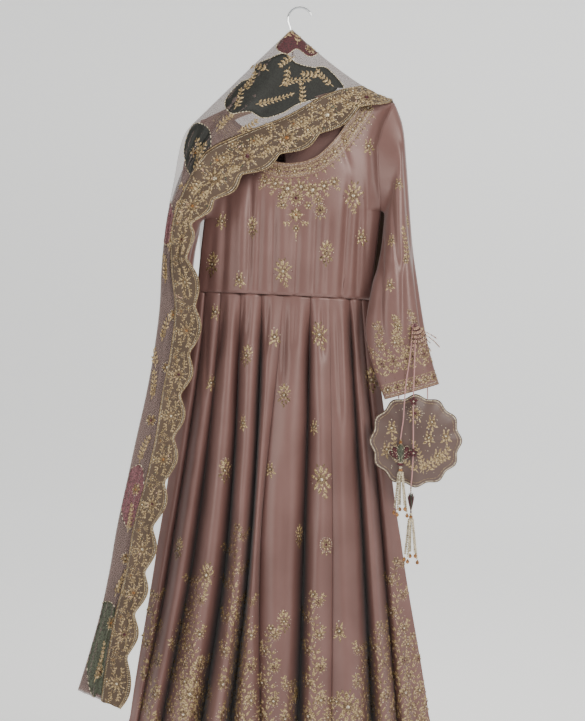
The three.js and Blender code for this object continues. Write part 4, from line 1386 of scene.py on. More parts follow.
# Corners (length, width, height) and faces of each shape, for a length, width and height of 1
SHAPES = {
    Stitch.LEAF: (
        np.array([
            (-0.5, 0, 0), (-0.2, 0.5, 0), (0.16, 0.42, 0), (0.5, 0, 0), (0.16, -0.42, 0), (-0.2, -0.5, 0),
            (-0.22, 0, 1), (0.18, 0, 0.9),
        ]),
        ((1, 0, 6), (2, 1, 6, 7), (3, 2, 7), (4, 3, 7), (5, 4, 7, 6), (0, 5, 6)),
    ),
    Stitch.BEAD: (
        np.array(
            [(0.5 * math.cos(a), 0.5 * math.sin(a), 0) for a in np.arange(6) * math.pi / 3] + [(0, 0, 1)]
        ),
        tuple((k, (k + 1) % 6, 6) for k in range(6)),
    ),
}


@dataclass
class Embroidery:
    """Raised stitches and beads on one side of a cloth.

    Attributes:
        name: Name of the joined piece.
        grounds: Cloths that it is sewn on.
        side: Side of the garment that it shows on.
        seed: Seed of its small differences.
        raised: Height of the cloth's surface over its middle.
        rows: Place, directions, size and tone of each stitch, by its shape.
    """

    name: str
    grounds: tuple[bpy.types.Object, ...]
    side: int
    seed: int
    raised: float = 0.6
    rows: dict[Stitch, list] = field(default_factory=lambda: {shape: [] for shape in Stitch})

    # Place in front of the suit that a ray starts from, in metres, and how far apart in depth, in
    # millimetres, the parts of one motif may land before they are left out
    START = 0.6
    SAME_FOLD = 30

    def __post_init__(self) -> None:
        """Gather the faces that the stitches land on and start the small differences."""
        corners, faces = [], []
        for ground in self.grounds:
            base = len(corners)
            corners += [vertex.co.copy() for vertex in ground.data.vertices]
            faces += [[base + k for k in face.vertices] for face in ground.data.polygons]
        self.tree = BVHTree.FromPolygons(corners, faces) if faces else None
        self.random = np.random.default_rng(self.seed)

    def land(self, x: float, z: float) -> tuple[Array, Array] | None:
        """Find the cloth in front of a place.

        Args:
            x: Place in X.
            z: Height.

        Returns:
            The point in millimetres and the outward normal there, or None off the cloth.
        """
        start = Vector((x * MM, self.side * self.START, z * MM))
        point, normal, _, _ = self.tree.ray_cast(start, Vector((0, -self.side, 0)))
        if point is None:
            return None
        out = np.array(normal)
        if out[1] * self.side < 0:
            out = -out
        return np.array(point) / MM, out

    def sew(
        self, shape: Stitch, point: Array, out: Array, way: Array, size: Sequence[float], tone: Tone
    ) -> None:
        """Add one stitch or bead.

        Args:
            shape: Its shape.
            point: Middle of its foot.
            out: Normal of the cloth.
            way: Direction of its length.
            size: Length, width and height.
            tone: Its colour.
        """
        way = way - out * way.dot(out)
        way = way / max(np.linalg.norm(way), 1e-6)
        shade = tone.value + 0.02 * self.random.uniform(-1, 1)
        foot = point + out * (self.raised - 0.25)
        self.rows[shape].append(np.concatenate([foot, way, np.cross(out, way), out, size, [shade]]))

    def motif(self, parts: Sequence[tuple], x: float, z: float, size: float = 1, turn: float = 0) -> None:
        """Sew a motif on the cloth.

        Args:
            parts: Shape, place, angle in degrees, length, width and tone of each part, in millimetres.
            x: Middle in X.
            z: Middle in height.
            size: Scale.
            turn: Degrees that it leans.
        """
        found = self.land(x, z)
        if found is None:
            return
        point, out = found
        up = np.array((0.0, 0.0, 1.0)) - out * out[2]
        up /= np.linalg.norm(up)
        right = np.cross(up, out) * -self.side
        spin = math.radians(turn)
        for shape, u, v, angle, long, wide, tone in parts:
            a, b = u * math.cos(spin) - v * math.sin(spin), u * math.sin(spin) + v * math.cos(spin)
            reach = point + (right * a + up * b) * size
            spot = self.land(reach[0], reach[2])
            if spot is None or abs(spot[0][1] - point[1]) > self.SAME_FOLD:
                continue
            lean = math.radians(angle) + spin
            way = right * math.cos(lean) + up * math.sin(lean)
            self.sew(shape, spot[0], spot[1], way, (long * size, wide * size, 0.9 + 0.16 * wide * size), tone)

    def build(self, finish: Finish = ZARI) -> bpy.types.Object | None:
        """Join everything into one piece.

        Args:
            finish: Finish of the threads.

        Returns:
            The piece.
        """
        corners, faces, tones = [], [], []
        base = 0
        for shape, rows in self.rows.items():
            if not rows:
                continue
            form, sides = SHAPES[shape]
            table = np.array(rows)
            local = form[None] * table[:, None, 12:15]
            axes = table[:, 3:12].reshape(-1, 3, 3)
            corners.append((table[:, None, :3] + np.einsum("nki,nij->nkj", local, axes)).reshape(-1, 3))
            tones.append(np.repeat(table[:, 15], len(form)))
            for k in range(len(table)):
                faces += [[base + k * len(form) + corner for corner in side] for side in sides]
            base += len(table) * len(form)
        return toned_piece(
            self.name, np.concatenate(corners), faces, np.clip(np.concatenate(tones), 0, 1), finish
        )


def polar(x: float, z: float, radius: float, turn: float) -> Spot:
    """Find a place at a distance from a middle.

    Args:
        x: Middle in X.
        z: Middle in height.
        radius: Distance.
        turn: Direction in radians.

    Returns:
        X and height.
    """
    return x + radius * math.cos(turn), z + radius * math.sin(turn)


def ring(
    count: int, radius: float, long: float, wide: float, tone: Tone, start: float = 90,
    place: Spot = (0.0, 0.0)
) -> list[tuple]:
    """Petals round a middle.

    Args:
        count: Petals.
        radius: Distance of each petal's middle.
        long: Length of a petal.
        wide: Its width.
        tone: Its colour.
        start: Angle of the first petal.
        place: Middle of the ring.

    Returns:
        The parts.
    """
    parts = []
    for k in range(count):
        angle = start + 360 * k / count
        turn = math.radians(angle)
        u, v = place[0] + radius * math.cos(turn), place[1] + radius * math.sin(turn)
        parts.append((Stitch.LEAF, u, v, angle, long, wide, tone))
    return parts


def bead(u: float, v: float, size: float, tone: Tone = Tone.STONE) -> tuple:
    """One round bead.

    Args:
        u: Place across.
        v: Place up.
        size: Diameter.
        tone: Its colour.

    Returns:
        The part.
    """
    return (Stitch.BEAD, u, v, 0, size, size, tone)


def beads(
    count: int, radius: float, size: float, tone: Tone, place: Spot = (0.0, 0.0), squash: float = 1
) -> list[tuple]:
    """A ring of beads.

    Args:
        count: Beads.
        radius: Radius of the ring.
        size: Diameter of a bead.
        tone: Its colour.
        place: Middle of the ring.
        squash: Height of the ring over its width.

    Returns:
        The parts.
    """
    turns = np.arange(count) * 2 * math.pi / count
    return [
        bead(place[0] + radius * math.cos(a), place[1] + squash * radius * math.sin(a), size, tone)
        for a in turns
    ]


def rosette(
    radius: float, petals: int, middle: Tone = Tone.STONE, place: Spot = (0.0, 0.0), tone: Tone = Tone.GOLD
) -> list[tuple]:
    """A round flower of two rings of petals about a stone.

    Args:
        radius: Its radius.
        petals: Petals of each ring.
        middle: Colour of the stone.
        place: Its middle.
        tone: Colour of the petals.

    Returns:
        The parts.
    """
    return [
        bead(*place, 0.55 * radius, middle),
        *ring(petals, 0.5 * radius, 0.62 * radius, 3.4 / petals * radius, Tone.OLD_GOLD, 90, place),
        *ring(petals, 0.84 * radius, 0.62 * radius, 3.6 / petals * radius, tone, 90 + 180 / petals, place),
    ]


def sprig(
    u: float, v: float, angle: float, leaves: int, step: float, bend: float, tone: Tone = Tone.GOLD
) -> list[tuple]:
    """A curved stem with pairs of leaves and a bud at its end.

    Args:
        u: Foot across.
        v: Foot up.
        angle: Direction in degrees.
        leaves: Pairs of leaves.
        step: Space between two pairs.
        bend: Degrees that it turns at each pair.
        tone: Colour of the leaves.

    Returns:
        The parts.
    """
    parts = []
    for k in range(leaves):
        way = math.radians(angle)
        parts.append(
            (
                Stitch.LEAF, u + step / 2 * math.cos(way), v + step / 2 * math.sin(way), angle, 1.4 * step,
                2.2, Tone.GOLD
            )
        )
        u, v = u + step * math.cos(way), v + step * math.sin(way)
        for side in (-1, 1):
            lean = math.radians(angle + side * 48)
            long = step * (1.15 - 0.06 * k)
            parts.append((
                Stitch.LEAF, u + 0.55 * long * math.cos(lean), v + 0.55 * long * math.sin(lean),
                angle + side * 48, 1.2 * long, 0.56 * long, tone,
            ))
        angle += bend
    way = math.radians(angle)
    parts.append(
        (
            Stitch.LEAF, u + 0.6 * step * math.cos(way), v + 0.6 * step * math.sin(way), angle, 1.3 * step,
            0.55 * step, tone
        )
    )
    return parts


def leaves(places: Sequence[tuple[float, float, float, float]], tone: Tone = Tone.GOLD) -> list[tuple]:
    """Broad single leaves.

    Args:
        places: Place across, place up, angle and length of each.
        tone: Their colour.

    Returns:
        The parts.
    """
    return [(Stitch.LEAF, u, v, angle, long, 0.5 * long, tone) for u, v, angle, long in places]


def butti_small() -> list[tuple]:
    """Small flower over two leaves.

    Returns:
        The parts.
    """
    return [
        *leaves(((-6, -7, 215, 10), (6.5, -6, -28, 10), (1, -11, -80, 9), (-3, 10, 108, 7), (4, 10, 66, 8))),
        *rosette(7, 5, Tone.STONE, (0, 1)), bead(0, 15, 2.2), bead(-9, 3, 1.8), bead(9, 4, 1.8),
    ]


def butti_star() -> list[tuple]:
    """Round flower with a beaded rim.

    Returns:
        The parts.
    """
    return [
        *rosette(9.5, 8, Tone.MAROON), *beads(20, 12, 1.9, Tone.STONE),
        *leaves(((0, -15, -90, 8), (-8, -13, 235, 7), (8, -13, -55, 7)))
    ]


def butti_oval() -> list[tuple]:
    """Tall bud over curled leaves, with a bead border.

    Returns:
        The parts.
    """
    return [
        *leaves(((0, 15, 92, 13), (-5, 11, 122, 12), (5.5, 11, 60, 12), (-9, 5, 150, 9), (9, 5, 32, 9))),
        *rosette(7.5, 6, Tone.STONE, (0, -1)),
        *leaves(
            ((-8, -9, 222, 11), (8, -9, -40, 11), (-3, -14, 250, 10), (4, -14, -66, 10), (0, -20, -86, 9)),
            Tone.OLD_GOLD
        ),
        *beads(16, 12.5, 1.6, Tone.STONE, (0, 1), 1.5),
    ]


def butti_large() -> list[tuple]:
    """Large flower with a crown of petals over broad leaves and a stem.

    Returns:
        The parts.
    """
    return [
        *leaves(((-8, 13, 124, 13), (0, 16, 92, 14), (8, 13, 58, 13), (-13, 5, 160, 11), (13, 6, 24, 11))),
        *rosette(10.5, 7, Tone.STONE), *leaves(((-5, 22, 110, 8), (5, 22, 70, 8)), Tone.OLD_GOLD),
        *leaves(((-10, -11, 218, 14), (10, -11, -36, 14), (-4, -17, 246, 12), (5, -17, -62, 12))),
        *sprig(1, -18, -80, 2, 4.5, 16), *beads(9, 15.5, 1.8, Tone.STONE), bead(-17, -3, 2.6, Tone.MAROON),
        bead(17, -2, 2.6, Tone.MAROON),
    ]


def hem_spray(tall: float, random: np.random.Generator) -> list[tuple]:
    """A rising vine with flowers and leaves that grows thinner towards its top.

    Args:
        tall: Its height.
        random: Source of its small differences.

    Returns:
        The parts, with the foot at 0.
    """
    parts = []
    u, v, angle = 0.0, 0.0, 90 + random.uniform(-8, 8)
    count = int(tall / 11)
    for k in range(count):
        share = k / count
        way = math.radians(angle)
        parts.append(
            (Stitch.LEAF, u + 5 * math.cos(way), v + 5 * math.sin(way), angle, 13, 1.8, Tone.OLD_GOLD)
        )
        u, v = u + 11 * math.cos(way), v + 11 * math.sin(way)
        side = 1 if k % 2 else -1
        for lean in (36, 62, -44):
            turn = math.radians(angle + side * lean)
            long = lerp(17, 9, share) * random.uniform(0.8, 1.1)
            parts.append((
                Stitch.LEAF, u + 0.62 * long * math.cos(turn), v + 0.62 * long * math.sin(turn),
                angle + side * lean, long, 0.36 * long, Tone.GOLD,
            ))
            parts.append(bead(u + 1.25 * long * math.cos(turn), v + 1.25 * long * math.sin(turn), 2.2))
        if k % 3 == 1:
            turn = math.radians(angle - side * 72)
            out = lerp(24, 13, share)
            size = lerp(13, 7.5, share)
            place = (u + out * math.cos(turn), v + out * math.sin(turn))
            parts += rosette(size, 7 if k % 2 else 6, Tone.MAROON if k % 4 == 1 else Tone.STONE, place)
            parts += beads(14, size * 1.22, 1.6, Tone.STONE, place)
            parts += sprig(*place, angle - side * 40, 2, 7, side * 22)
        angle = 90 + 26 * math.sin(1.1 * k + 1.7) * random.uniform(0.7, 1.1)
    parts += rosette(8, 6, Tone.STONE, (u, v + 7))
    return parts


@dataclass
class Beadwork:
    """Round beads and petals joined into one piece.

    Attributes:
        name: Name of the piece.
        finish: Its finish.
        rows: Middle, radii, tone and turn of each bead.
    """

    name: str
    finish: Finish
    rows: list = field(default_factory=list)

    def add(self, middle: Sequence[float], radii: Sequence[float], tone: Tone, turn: float = 0) -> None:
        """Add one bead.

        Args:
            middle: Its middle.
            radii: Its radii along X, Y and Z.
            tone: Its colour.
            turn: Turn about Y in radians.
        """
        self.rows.append((*middle, *radii, tone.value, turn))

    def build(self, toned: bool = True) -> bpy.types.Object:
        """Join the beads.

        Args:
            toned: Whether each bead's tone sets its colour.

        Returns:
            The piece.
        """
        ball = bmesh.new()
        bmesh.ops.create_icosphere(ball, subdivisions=2, radius=1.0)
        form = np.array([vertex.co[:] for vertex in ball.verts])
        sides = np.array([[vertex.index for vertex in face.verts] for face in ball.faces])
        ball.free()
        table = np.array(self.rows, float)
        local = form[None] * table[:, None, 3:6]
        cosine, sine = np.cos(table[:, 7])[:, None], np.sin(table[:, 7])[:, None]
        turned = np.stack([
            local[..., 0] * cosine + local[..., 2] * sine, local[..., 1],
            local[..., 2] * cosine - local[..., 0] * sine,
        ], axis=-1)
        corners = (turned + table[:, None, :3]).reshape(-1, 3)
        faces = (sides[None] + (np.arange(len(table)) * len(form))[:, None, None]).reshape(-1, 3)
        return toned_piece(
            self.name, corners, faces.tolist(), np.repeat(table[:, 6], len(form)), self.finish, toned
        )


# Middle in X and height, kind, scale and lean of each motif on the front
BUTTIS_FRONT = (
    (133, -272, "small", 1.0, 8), (103, -368, "large", 0.95, -6), (39, -397, "star", 0.9, 0),
    (119, -448, "small", 1.0, 6), (-92, -429, "oval", 0.85, 5), (-152, -417, "small", 1.0, -8),
    (-170, -499, "oval", 0.95, -6), (-33, -515, "large", 0.85, 4), (51, -479, "oval", 1.0, -4),
    (-117, -532, "small", 0.95, 3), (-164, -594, "small", 0.9, 6),
    (-103, -676, "oval", 0.85, -6), (-49, -643, "small", 1.05, 4), (37, -637, "large", 0.85, 4),
    (-31, -752, "oval", 0.9, 2), (-172, -731, "small", 0.95, -6), (-109, -807, "small", 0.9, 5),
    (-144, -896, "oval", 0.95, -4), (-57, -896, "small", 0.9, 8), (27, -815, "small", 0.9, -5),
    (41, -914, "large", 1.0, 3), (-2, -1021, "oval", 0.9, -3), (49, -1037, "star", 0.95, 0),
    (-234, -1048, "oval", 0.9, -10), (-179, -1095, "large", 0.85, -6), (-31, -1179, "oval", 0.85, 4),
    (74, -1201, "small", 1.1, 3), (90, -1341, "large", 1.1, 5), (-209, -1320, "large", 1.05, -6),
    (-10, -1322, "small", 0.95, 3), (139, -723, "oval", 1.0, 6),
)
BUTTIS_BACK = (
    (110, -330, "small", 1.0, 5), (20, -350, "star", 0.9, 0), (-80, -345, "small", 1.0, -4),
    (70, -430, "large", 0.9, 4), (-40, -440, "oval", 0.9, -5), (-130, -450, "small", 0.95, 6),
    (110, -520, "small", 0.95, -3), (10, -525, "large", 0.85, 4), (-90, -540, "small", 0.95, 3),
    (60, -640, "large", 0.85, -4), (-60, -660, "oval", 0.9, 6), (120, -690, "small", 0.9, -6),
    (-150, -700, "small", 0.95, 5), (20, -760, "oval", 0.9, 3), (-90, -820, "large", 0.9, -4),
    (90, -850, "small", 0.9, 4), (160, -900, "oval", 0.9, 6), (-180, -930, "small", 0.9, -5),
    (0, -940, "large", 0.95, 2), (-60, -1050, "small", 0.95, 4), (100, -1080, "large", 0.9, -5),
    (-210, -1120, "oval", 0.9, 6), (30, -1180, "small", 1.0, 3), (-120, -1200, "large", 1.0, -4),
)
# Foot in X, top height and lean of each spray that rises from the hem
SPRAYS_FRONT = (
    (-292, -1120, 4), (-250, -1180, 8), (-215, -1090, 5), (-176, -1250, -3), (-138, -985, 5),
    (-106, -1130, 3), (-64, -1180, 4), (-20, -1290, -4), (30, -1110, 3), (66, -1320, 4), (118, -1220, -3),
    (158, -1180, 4), (196, -1060, 2), (232, -1210, 6), (262, -1330, 5),
)
SPRAYS_BACK = (
    (-290, -1180, 4), (-240, -1260, 4), (-190, -1120, 5), (-130, -1300, -4), (-76, -1180, 3), (-16, -1280, 2),
    (48, -1130, 4), (108, -1290, -3), (164, -1160, 3), (214, -1250, 4), (252, -1320, 5),
)


@dataclass
class KameezEmbroidery:
    """Buttis, hem sprays, neck band and cuffs of the kameez.

    Attributes:
        pieces: The cloths of the kameez.
        hanger: Hanger that it hangs on.
    """

    pieces: dict[str, bpy.types.Object]
    hanger: Hanger

    BUTTI_SCALE = 1.22
    # Height that parts bodice and skirt
    WAIST = -562
    # Height that the sprays rise from, middle of the hem in X and step between border stitches
    HEM_FOOT = -1548
    MIDDLE_X = -40
    STITCH_STEP = 2.6
    # Place under the neck and radius of the flowers over the pendant
    CLUSTER = (
        (-44, -40, 12), (-20, -50, 14), (6, -46, 12), (28, -52, 14), (50, -44, 11), (-64, -34, 10),
        (70, -36, 10), (-32, -66, 8), (40, -70, 8),
    )
    KINDS = {"small": butti_small, "star": butti_star, "oval": butti_oval, "large": butti_large}

    def scatter(self, threads: Embroidery, places: Sequence[tuple]) -> None:
        """Sew the buttis.

        Args:
            threads: Embroidery to add to.
            places: Their table.
        """
        for x, z, kind, size, turn in places:
            threads.motif(self.KINDS[kind](), x, z, self.BUTTI_SCALE * size, turn)

    def hem(self, threads: Embroidery, places: Sequence[tuple]) -> None:
        """Sew the sprays over the hem.

        Args:
            threads: Embroidery to add to.
            places: Their table.
        """
        for x, top, lean in places:
            spin = math.radians(lean)
            for shape, u, v, angle, long, wide, tone in hem_spray(top - self.HEM_FOOT, threads.random):
                flare = v * math.sin(-0.35 * spin) * (1 if x > self.MIDDLE_X else -1)
                spot = threads.land(x + u * math.cos(spin) + flare, self.HEM_FOOT + v)
                if spot is None:
                    continue
                out = spot[1]
                across = np.array((1.0, -out[0] / out[1], 0.0))
                across /= np.linalg.norm(across)
                up = np.cross(out, across) * (1 if np.cross(out, across)[2] > 0 else -1)
                turn = math.radians(angle)
                way = across * math.cos(turn) + up * math.sin(turn)
                threads.sew(shape, spot[0], out, way, (long, wide, 0.9 + 0.16 * wide), tone)

    def neck(self, threads: Embroidery, bodice: Bodice) -> None:
        """Sew the band, the medallions and the pendant of the neck.

        Args:
            threads: Embroidery to add to.
            bodice: The panel, for its neck edge.
        """
        t = np.linspace(bodice.strap_left + 0.004, bodice.strap_right - 0.004, 400)
        z = bodice.top_edge(t)
        x = bodice.side_x(t, z)
        length = np.append(0, np.hypot(np.diff(x), np.diff(z)).cumsum())
        marks = np.arange(3, length[-1] - 2, self.STITCH_STEP)
        xs, zs = np.interp(marks, length, x), np.interp(marks, length, z)
        wx, wz = np.gradient(xs), np.gradient(zs)
        size = np.hypot(wx, wz)
        wx, wz = wx / size, wz / size
        for k in range(len(marks)):
            way = np.array((wx[k], 0.0, wz[k]))
            down = (wz[k], -wx[k])
            for far, shape, angle, long, wide, tone in (
                (1.6, Stitch.LEAF, 25, 4.2, 1.8, Tone.GOLD), (4.2, Stitch.BEAD, 0, 2.2, 2.2, Tone.STONE),
                (6.8, Stitch.LEAF, -25, 4.2, 1.8, Tone.GOLD), (27.0, Stitch.LEAF, 20, 4.4, 2.2, Tone.GOLD),
                (9.6, Stitch.LEAF, 70, 4.6, 2.4, Tone.OLD_GOLD), (24.4, Stitch.BEAD, 0, 2.2, 2.2, Tone.STONE),
                (12.8, Stitch.LEAF, 50, 5, 2.4, Tone.GOLD), (21.2, Stitch.LEAF, -60, 5, 2.4, Tone.GOLD),
            ):
                spot = threads.land(xs[k] + far * down[0], zs[k] + far * down[1])
                if spot is None:
                    continue
                spin = math.radians(angle)
                lean = way * math.cos(spin) + np.array((down[0], 0.0, down[1])) * math.sin(spin)
                threads.sew(shape, spot[0], spot[1], lean, (long, wide, 1.2), tone)
            lean = math.degrees(math.atan2(wz[k], wx[k]))
            middle = (xs[k] + 17 * down[0], zs[k] + 17 * down[1])
            if k % 10 == 5:
                medal = rosette(8.5, 8, Tone.STONE) + beads(14, 10.4, 1.7, Tone.STONE)
                threads.motif(medal, *middle, 1.0, lean)
            if k % 10 == 0:
                filler = [
                    *ring(2, 5, 9, 3.8, Tone.GOLD, 90), *ring(2, 5, 8, 3.2, Tone.OLD_GOLD, 35),
                    *ring(2, 5, 8, 3.2, Tone.OLD_GOLD, 145),
                    bead(0, 0, 3.4, Tone.MAROON),
                ]
                threads.motif(filler, *middle, 1.0, lean)
            if k % 5 == 2:
                edge = (xs[k] + 32 * down[0], zs[k] + 32 * down[1])
                tooth = [
                    (Stitch.LEAF, 0, -2, -90, 9, 4.4, Tone.GOLD),
                    (Stitch.LEAF, -4, 0, -125, 7, 3, Tone.OLD_GOLD),
                    (Stitch.LEAF, 4, 0, -55, 7, 3, Tone.OLD_GOLD), bead(0, -8, 2.4),
                ]
                threads.motif(tooth, *edge, 1.0, lean)
        self.pendant(threads, x[length.searchsorted(length[-1] * 0.5)], z.min())

    def pendant(self, threads: Embroidery, x: float, z: float) -> None:
        """Sew the cluster and the pendant under the middle of the neck.

        Args:
            threads: Embroidery to add to.
            x: Middle of the neck.
            z: Its lowest point.
        """
        for u, v, radius in self.CLUSTER:
            flower = rosette(radius, 7, Tone.STONE) + beads(12, radius * 1.25, 1.6, Tone.STONE)
            threads.motif(flower + sprig(0, -radius, -100 + u, 2, 4.6, 12), x + u, z + v)
        drop = [
            *rosette(13, 9, Tone.MAROON, (0, -66)), *beads(20, 16, 1.8, Tone.STONE, (0, -66)),
            *rosette(8, 6, Tone.STONE, (-24, -80)), *rosette(8, 6, Tone.STONE, (24, -80)),
            *ring(4, 8, 15, 8, Tone.GOLD, 90, (0, -98)), *ring(4, 8, 12, 6, Tone.OLD_GOLD, 45, (0, -98)),
            bead(0, -98, 6, Tone.COPPER), *beads(10, 17, 1.6, Tone.STONE, (0, -98), 1.1),
            *sprig(-8, -110, 215, 2, 6, -18), *sprig(8, -110, -35, 2, 6, 18),
            *rosette(7, 6, Tone.STONE, (0, -124)),
            (Stitch.LEAF, 0, -138, -90, 15, 5, Tone.GOLD), bead(0, -148, 3.2),
            *sprig(-14, -60, 170, 2, 5, 24), *sprig(14, -60, 10, 2, 5, -24),
        ]
        threads.motif(drop, x - 4, z - 2)

    def cuff(
        self, threads: Embroidery, inner: tuple[float, float], outer: tuple[float, float], tall: float
    ) -> None:
        """Sew the band over a cuff and the leaves over the band.

        Args:
            threads: Embroidery to add to.
            inner: Inner end of the cuff in X and Z.
            outer: Outer end.
            tall: Height of the sprays.
        """
        start, end = np.array(inner, float), np.array(outer, float)
        if start[0] > end[0]:
            start, end = end, start
        run = end - start
        long = np.linalg.norm(run)
        lean = math.degrees(math.atan2(run[1], run[0]))
        up = np.array((-run[1], run[0])) / long
        for k, share in enumerate(np.arange(2, long - 1, self.STITCH_STEP) / long):
            for far, wide, tone in ((3, 1.9, Tone.GOLD), (6, 2.2, Tone.STONE), (27, 1.8, Tone.GOLD)):
                shape, size = (Stitch.BEAD, 2.2) if tone is Tone.STONE else (Stitch.LEAF, 4.2)
                place = start + run * share + up * far
                threads.motif([(shape, 0, 0, 20, size, wide, tone)], *place, 1, lean)
            if k % 7 == 3:
                flower = rosette(8.5, 7, Tone.STONE if k % 2 else Tone.MAROON)
                flower += beads(12, 10.5, 1.6, Tone.STONE)
                threads.motif(flower, *(start + run * share + up * 16.5), 1, lean)
            if k % 7 == 0:
                cross = [*ring(4, 5, 8, 3.4, Tone.GOLD, 45), bead(0, 0, 3)]
                threads.motif(cross, *(start + run * share + up * 16.5), 1, lean)
        for share, rise, turn in (
            (0.1, 0.5, 10), (0.27, 0.85, 4), (0.45, 1.0, -4), (0.62, 0.75, 6), (0.78, 0.95, -2),
            (0.92, 0.6, -10)
        ):
            spin = math.radians(turn)
            place = start + run * share + up * 30
            for shape, u, v, angle, size, wide, tone in hem_spray(tall * rise, threads.random):
                x = place[0] + 0.62 * u - v * math.sin(spin) + v * up[0]
                threads.motif([(shape, 0, 0, angle, 0.7 * size, 0.72 * wide, tone)], x, place[1] + v)

    def build(self) -> None:
        """Sew everything and join it by panel."""
        for side, places, sprays in (
            (FRONT, BUTTIS_FRONT, SPRAYS_FRONT), (BACK, BUTTIS_BACK, SPRAYS_BACK),
        ):
            word = WORDS[side]
            top, low = self.pieces[f"bodice_{word}_satin"], self.pieces[f"skirt_{word}_satin"]
            threads = Embroidery(f"bodice_{word}_embroidery", (top,), side, 11 + side)
            self.scatter(threads, [place for place in places if place[1] > self.WAIST])
            if side == FRONT:
                self.neck(threads, Bodice(FRONT, 124, DRAPES_FRONT, self.hanger))
            threads.build()
            threads = Embroidery(f"skirt_{word}_embroidery", (low,), side, 21 + side)
            self.scatter(threads, [place for place in places if place[1] < self.WAIST])
            self.hem(threads, sprays)
            threads.build()
        for word, inner, outer, buttis in (
            (
                "right", (162, -761), (265, -732),
                ((189, -349, 0.9), (174, -458, 0.9), (170, -544, 0.95), (210, -260, 0.7), (205, -420, 0.85))
            ),
            ("left", (-243, -766), (-281, -762), ((-225, -380, 0.9), (-232, -500, 0.9))),
        ):
            sleeve = self.pieces[f"sleeve_{word}_satin"]
            for side, face in ((FRONT, "front"), (BACK, "back")):
                threads = Embroidery(f"sleeve_{word}_{face}_embroidery", (sleeve,), side, 31 + side)
                for x, z, size in buttis:
                    threads.motif(butti_small(), x, z, size, 6)
                self.cuff(threads, inner, outer, 120 if word == "right" else 60)
                if side == FRONT and word == "right":
                    threads.motif(
                        sprig(0, 0, 82, 7, 9, 1.5) + rosette(7, 6, Tone.STONE, (-3, 4)), 204, -500, 1, 4
                    )
                threads.build()


# Outlines of the cloth patches on the net, in X and Z, with their colour
PATCHES_FRONT = (
    (
        Tone.MAROON,
        ((-46, -82), (-30, -58), (-8, -42), (15, -54), (36, -84), (18, -98), (-6, -84), (-26, -96))
    ),
    (Tone.BLACK_GREEN, (
        (-132, -214), (-144, -188), (-116, -152), (-92, -142), (-84, -116), (-58, -104), (-30, -94),
        (-8, -112), (24, -120), (48, -118), (72, -140), (84, -164), (52, -176), (22, -186), (-8, -196),
        (-34, -212), (-70, -222), (-98, -210),
    )),
    (Tone.BLACK_GREEN, ((-214, -326), (-222, -278), (-204, -232), (-174, -246), (-172, -296), (-188, -340))),
    (
        Tone.BLACK_GREEN,
        ((-222, -386), (-214, -348), (-180, -332), (-148, -354), (-140, -390), (-170, -420), (-208, -414))
    ),
    (Tone.PLUM, ((-262, -394), (-246, -386), (-238, -450), (-258, -464))),
    (Tone.PLUM, ((-334, -908), (-300, -886), (-298, -958), (-322, -1004), (-338, -968))),
    (Tone.GREEN, ((-382, -1154), (-350, -1148), (-338, -1230), (-358, -1318), (-392, -1310), (-400, -1240))),
)
# Middle, radius and colour of the flowers on the net
FLOWERS_FRONT = (
    (-183, -374, 26, Tone.STONE), (-86, -296, 15, Tone.COPPER), (0, -235, 13, Tone.MAROON),
    (20, -82, 9, Tone.MAROON), (-140, -300, 12, Tone.STONE), (-50, -262, 11, Tone.STONE),
    (-200, -290, 10, Tone.COPPER), (-226, -480, 10, Tone.MAROON), (-240, -600, 9, Tone.COPPER),
    (-252, -700, 9, Tone.STONE), (-282, -800, 10, Tone.MAROON), (-310, -930, 10, Tone.COPPER),
    (-330, -1060, 9, Tone.STONE), (-356, -1180, 11, Tone.COPPER), (-376, -1270, 10, Tone.MAROON),
    (60, -176, 9, Tone.STONE),
)
# Foot, direction, pairs of leaves and bend of the fern sprigs on the net
FERNS_FRONT = (
    (-86, -196, 12, 9, 1), (-30, -62, 60, 4, -8), (-10, -100, 200, 4, 8), (40, -140, 160, 4, 6),
    (-200, -330, 80, 7, -3), (-160, -250, 60, 5, -6), (-120, -250, 20, 5, 5), (-240, -430, 95, 5, -4),
    (-256, -540, 84, 6, 3), (-262, -650, 80, 6, -3), (-282, -760, 76, 6, 3), (-304, -880, 78, 6, -3),
    (-326, -1010, 76, 6, 3), (-348, -1130, 76, 6, -3), (-386, -1290, 74, 9, 2), (-366, -1300, 82, 8, -2),
    (-60, -130, 150, 5, 5), (-150, -340, 110, 4, -6), (-40, -160, 30, 7, -5), (-110, -170, 48, 5, 4),
    (0, -196, 70, 5, 8), (-20, -120, 250, 4, 6), (64, -158, 140, 5, -4), (-126, -206, 60, 5, 6),
    (-190, -300, 95, 4, 4), (-178, -400, 60, 4, -8), (-200, -372, 140, 4, 6), (-6, -74, 75, 2, 4),
    (-274, -700, 96, 5, 3), (-250, -480, 70, 4, 4),
)


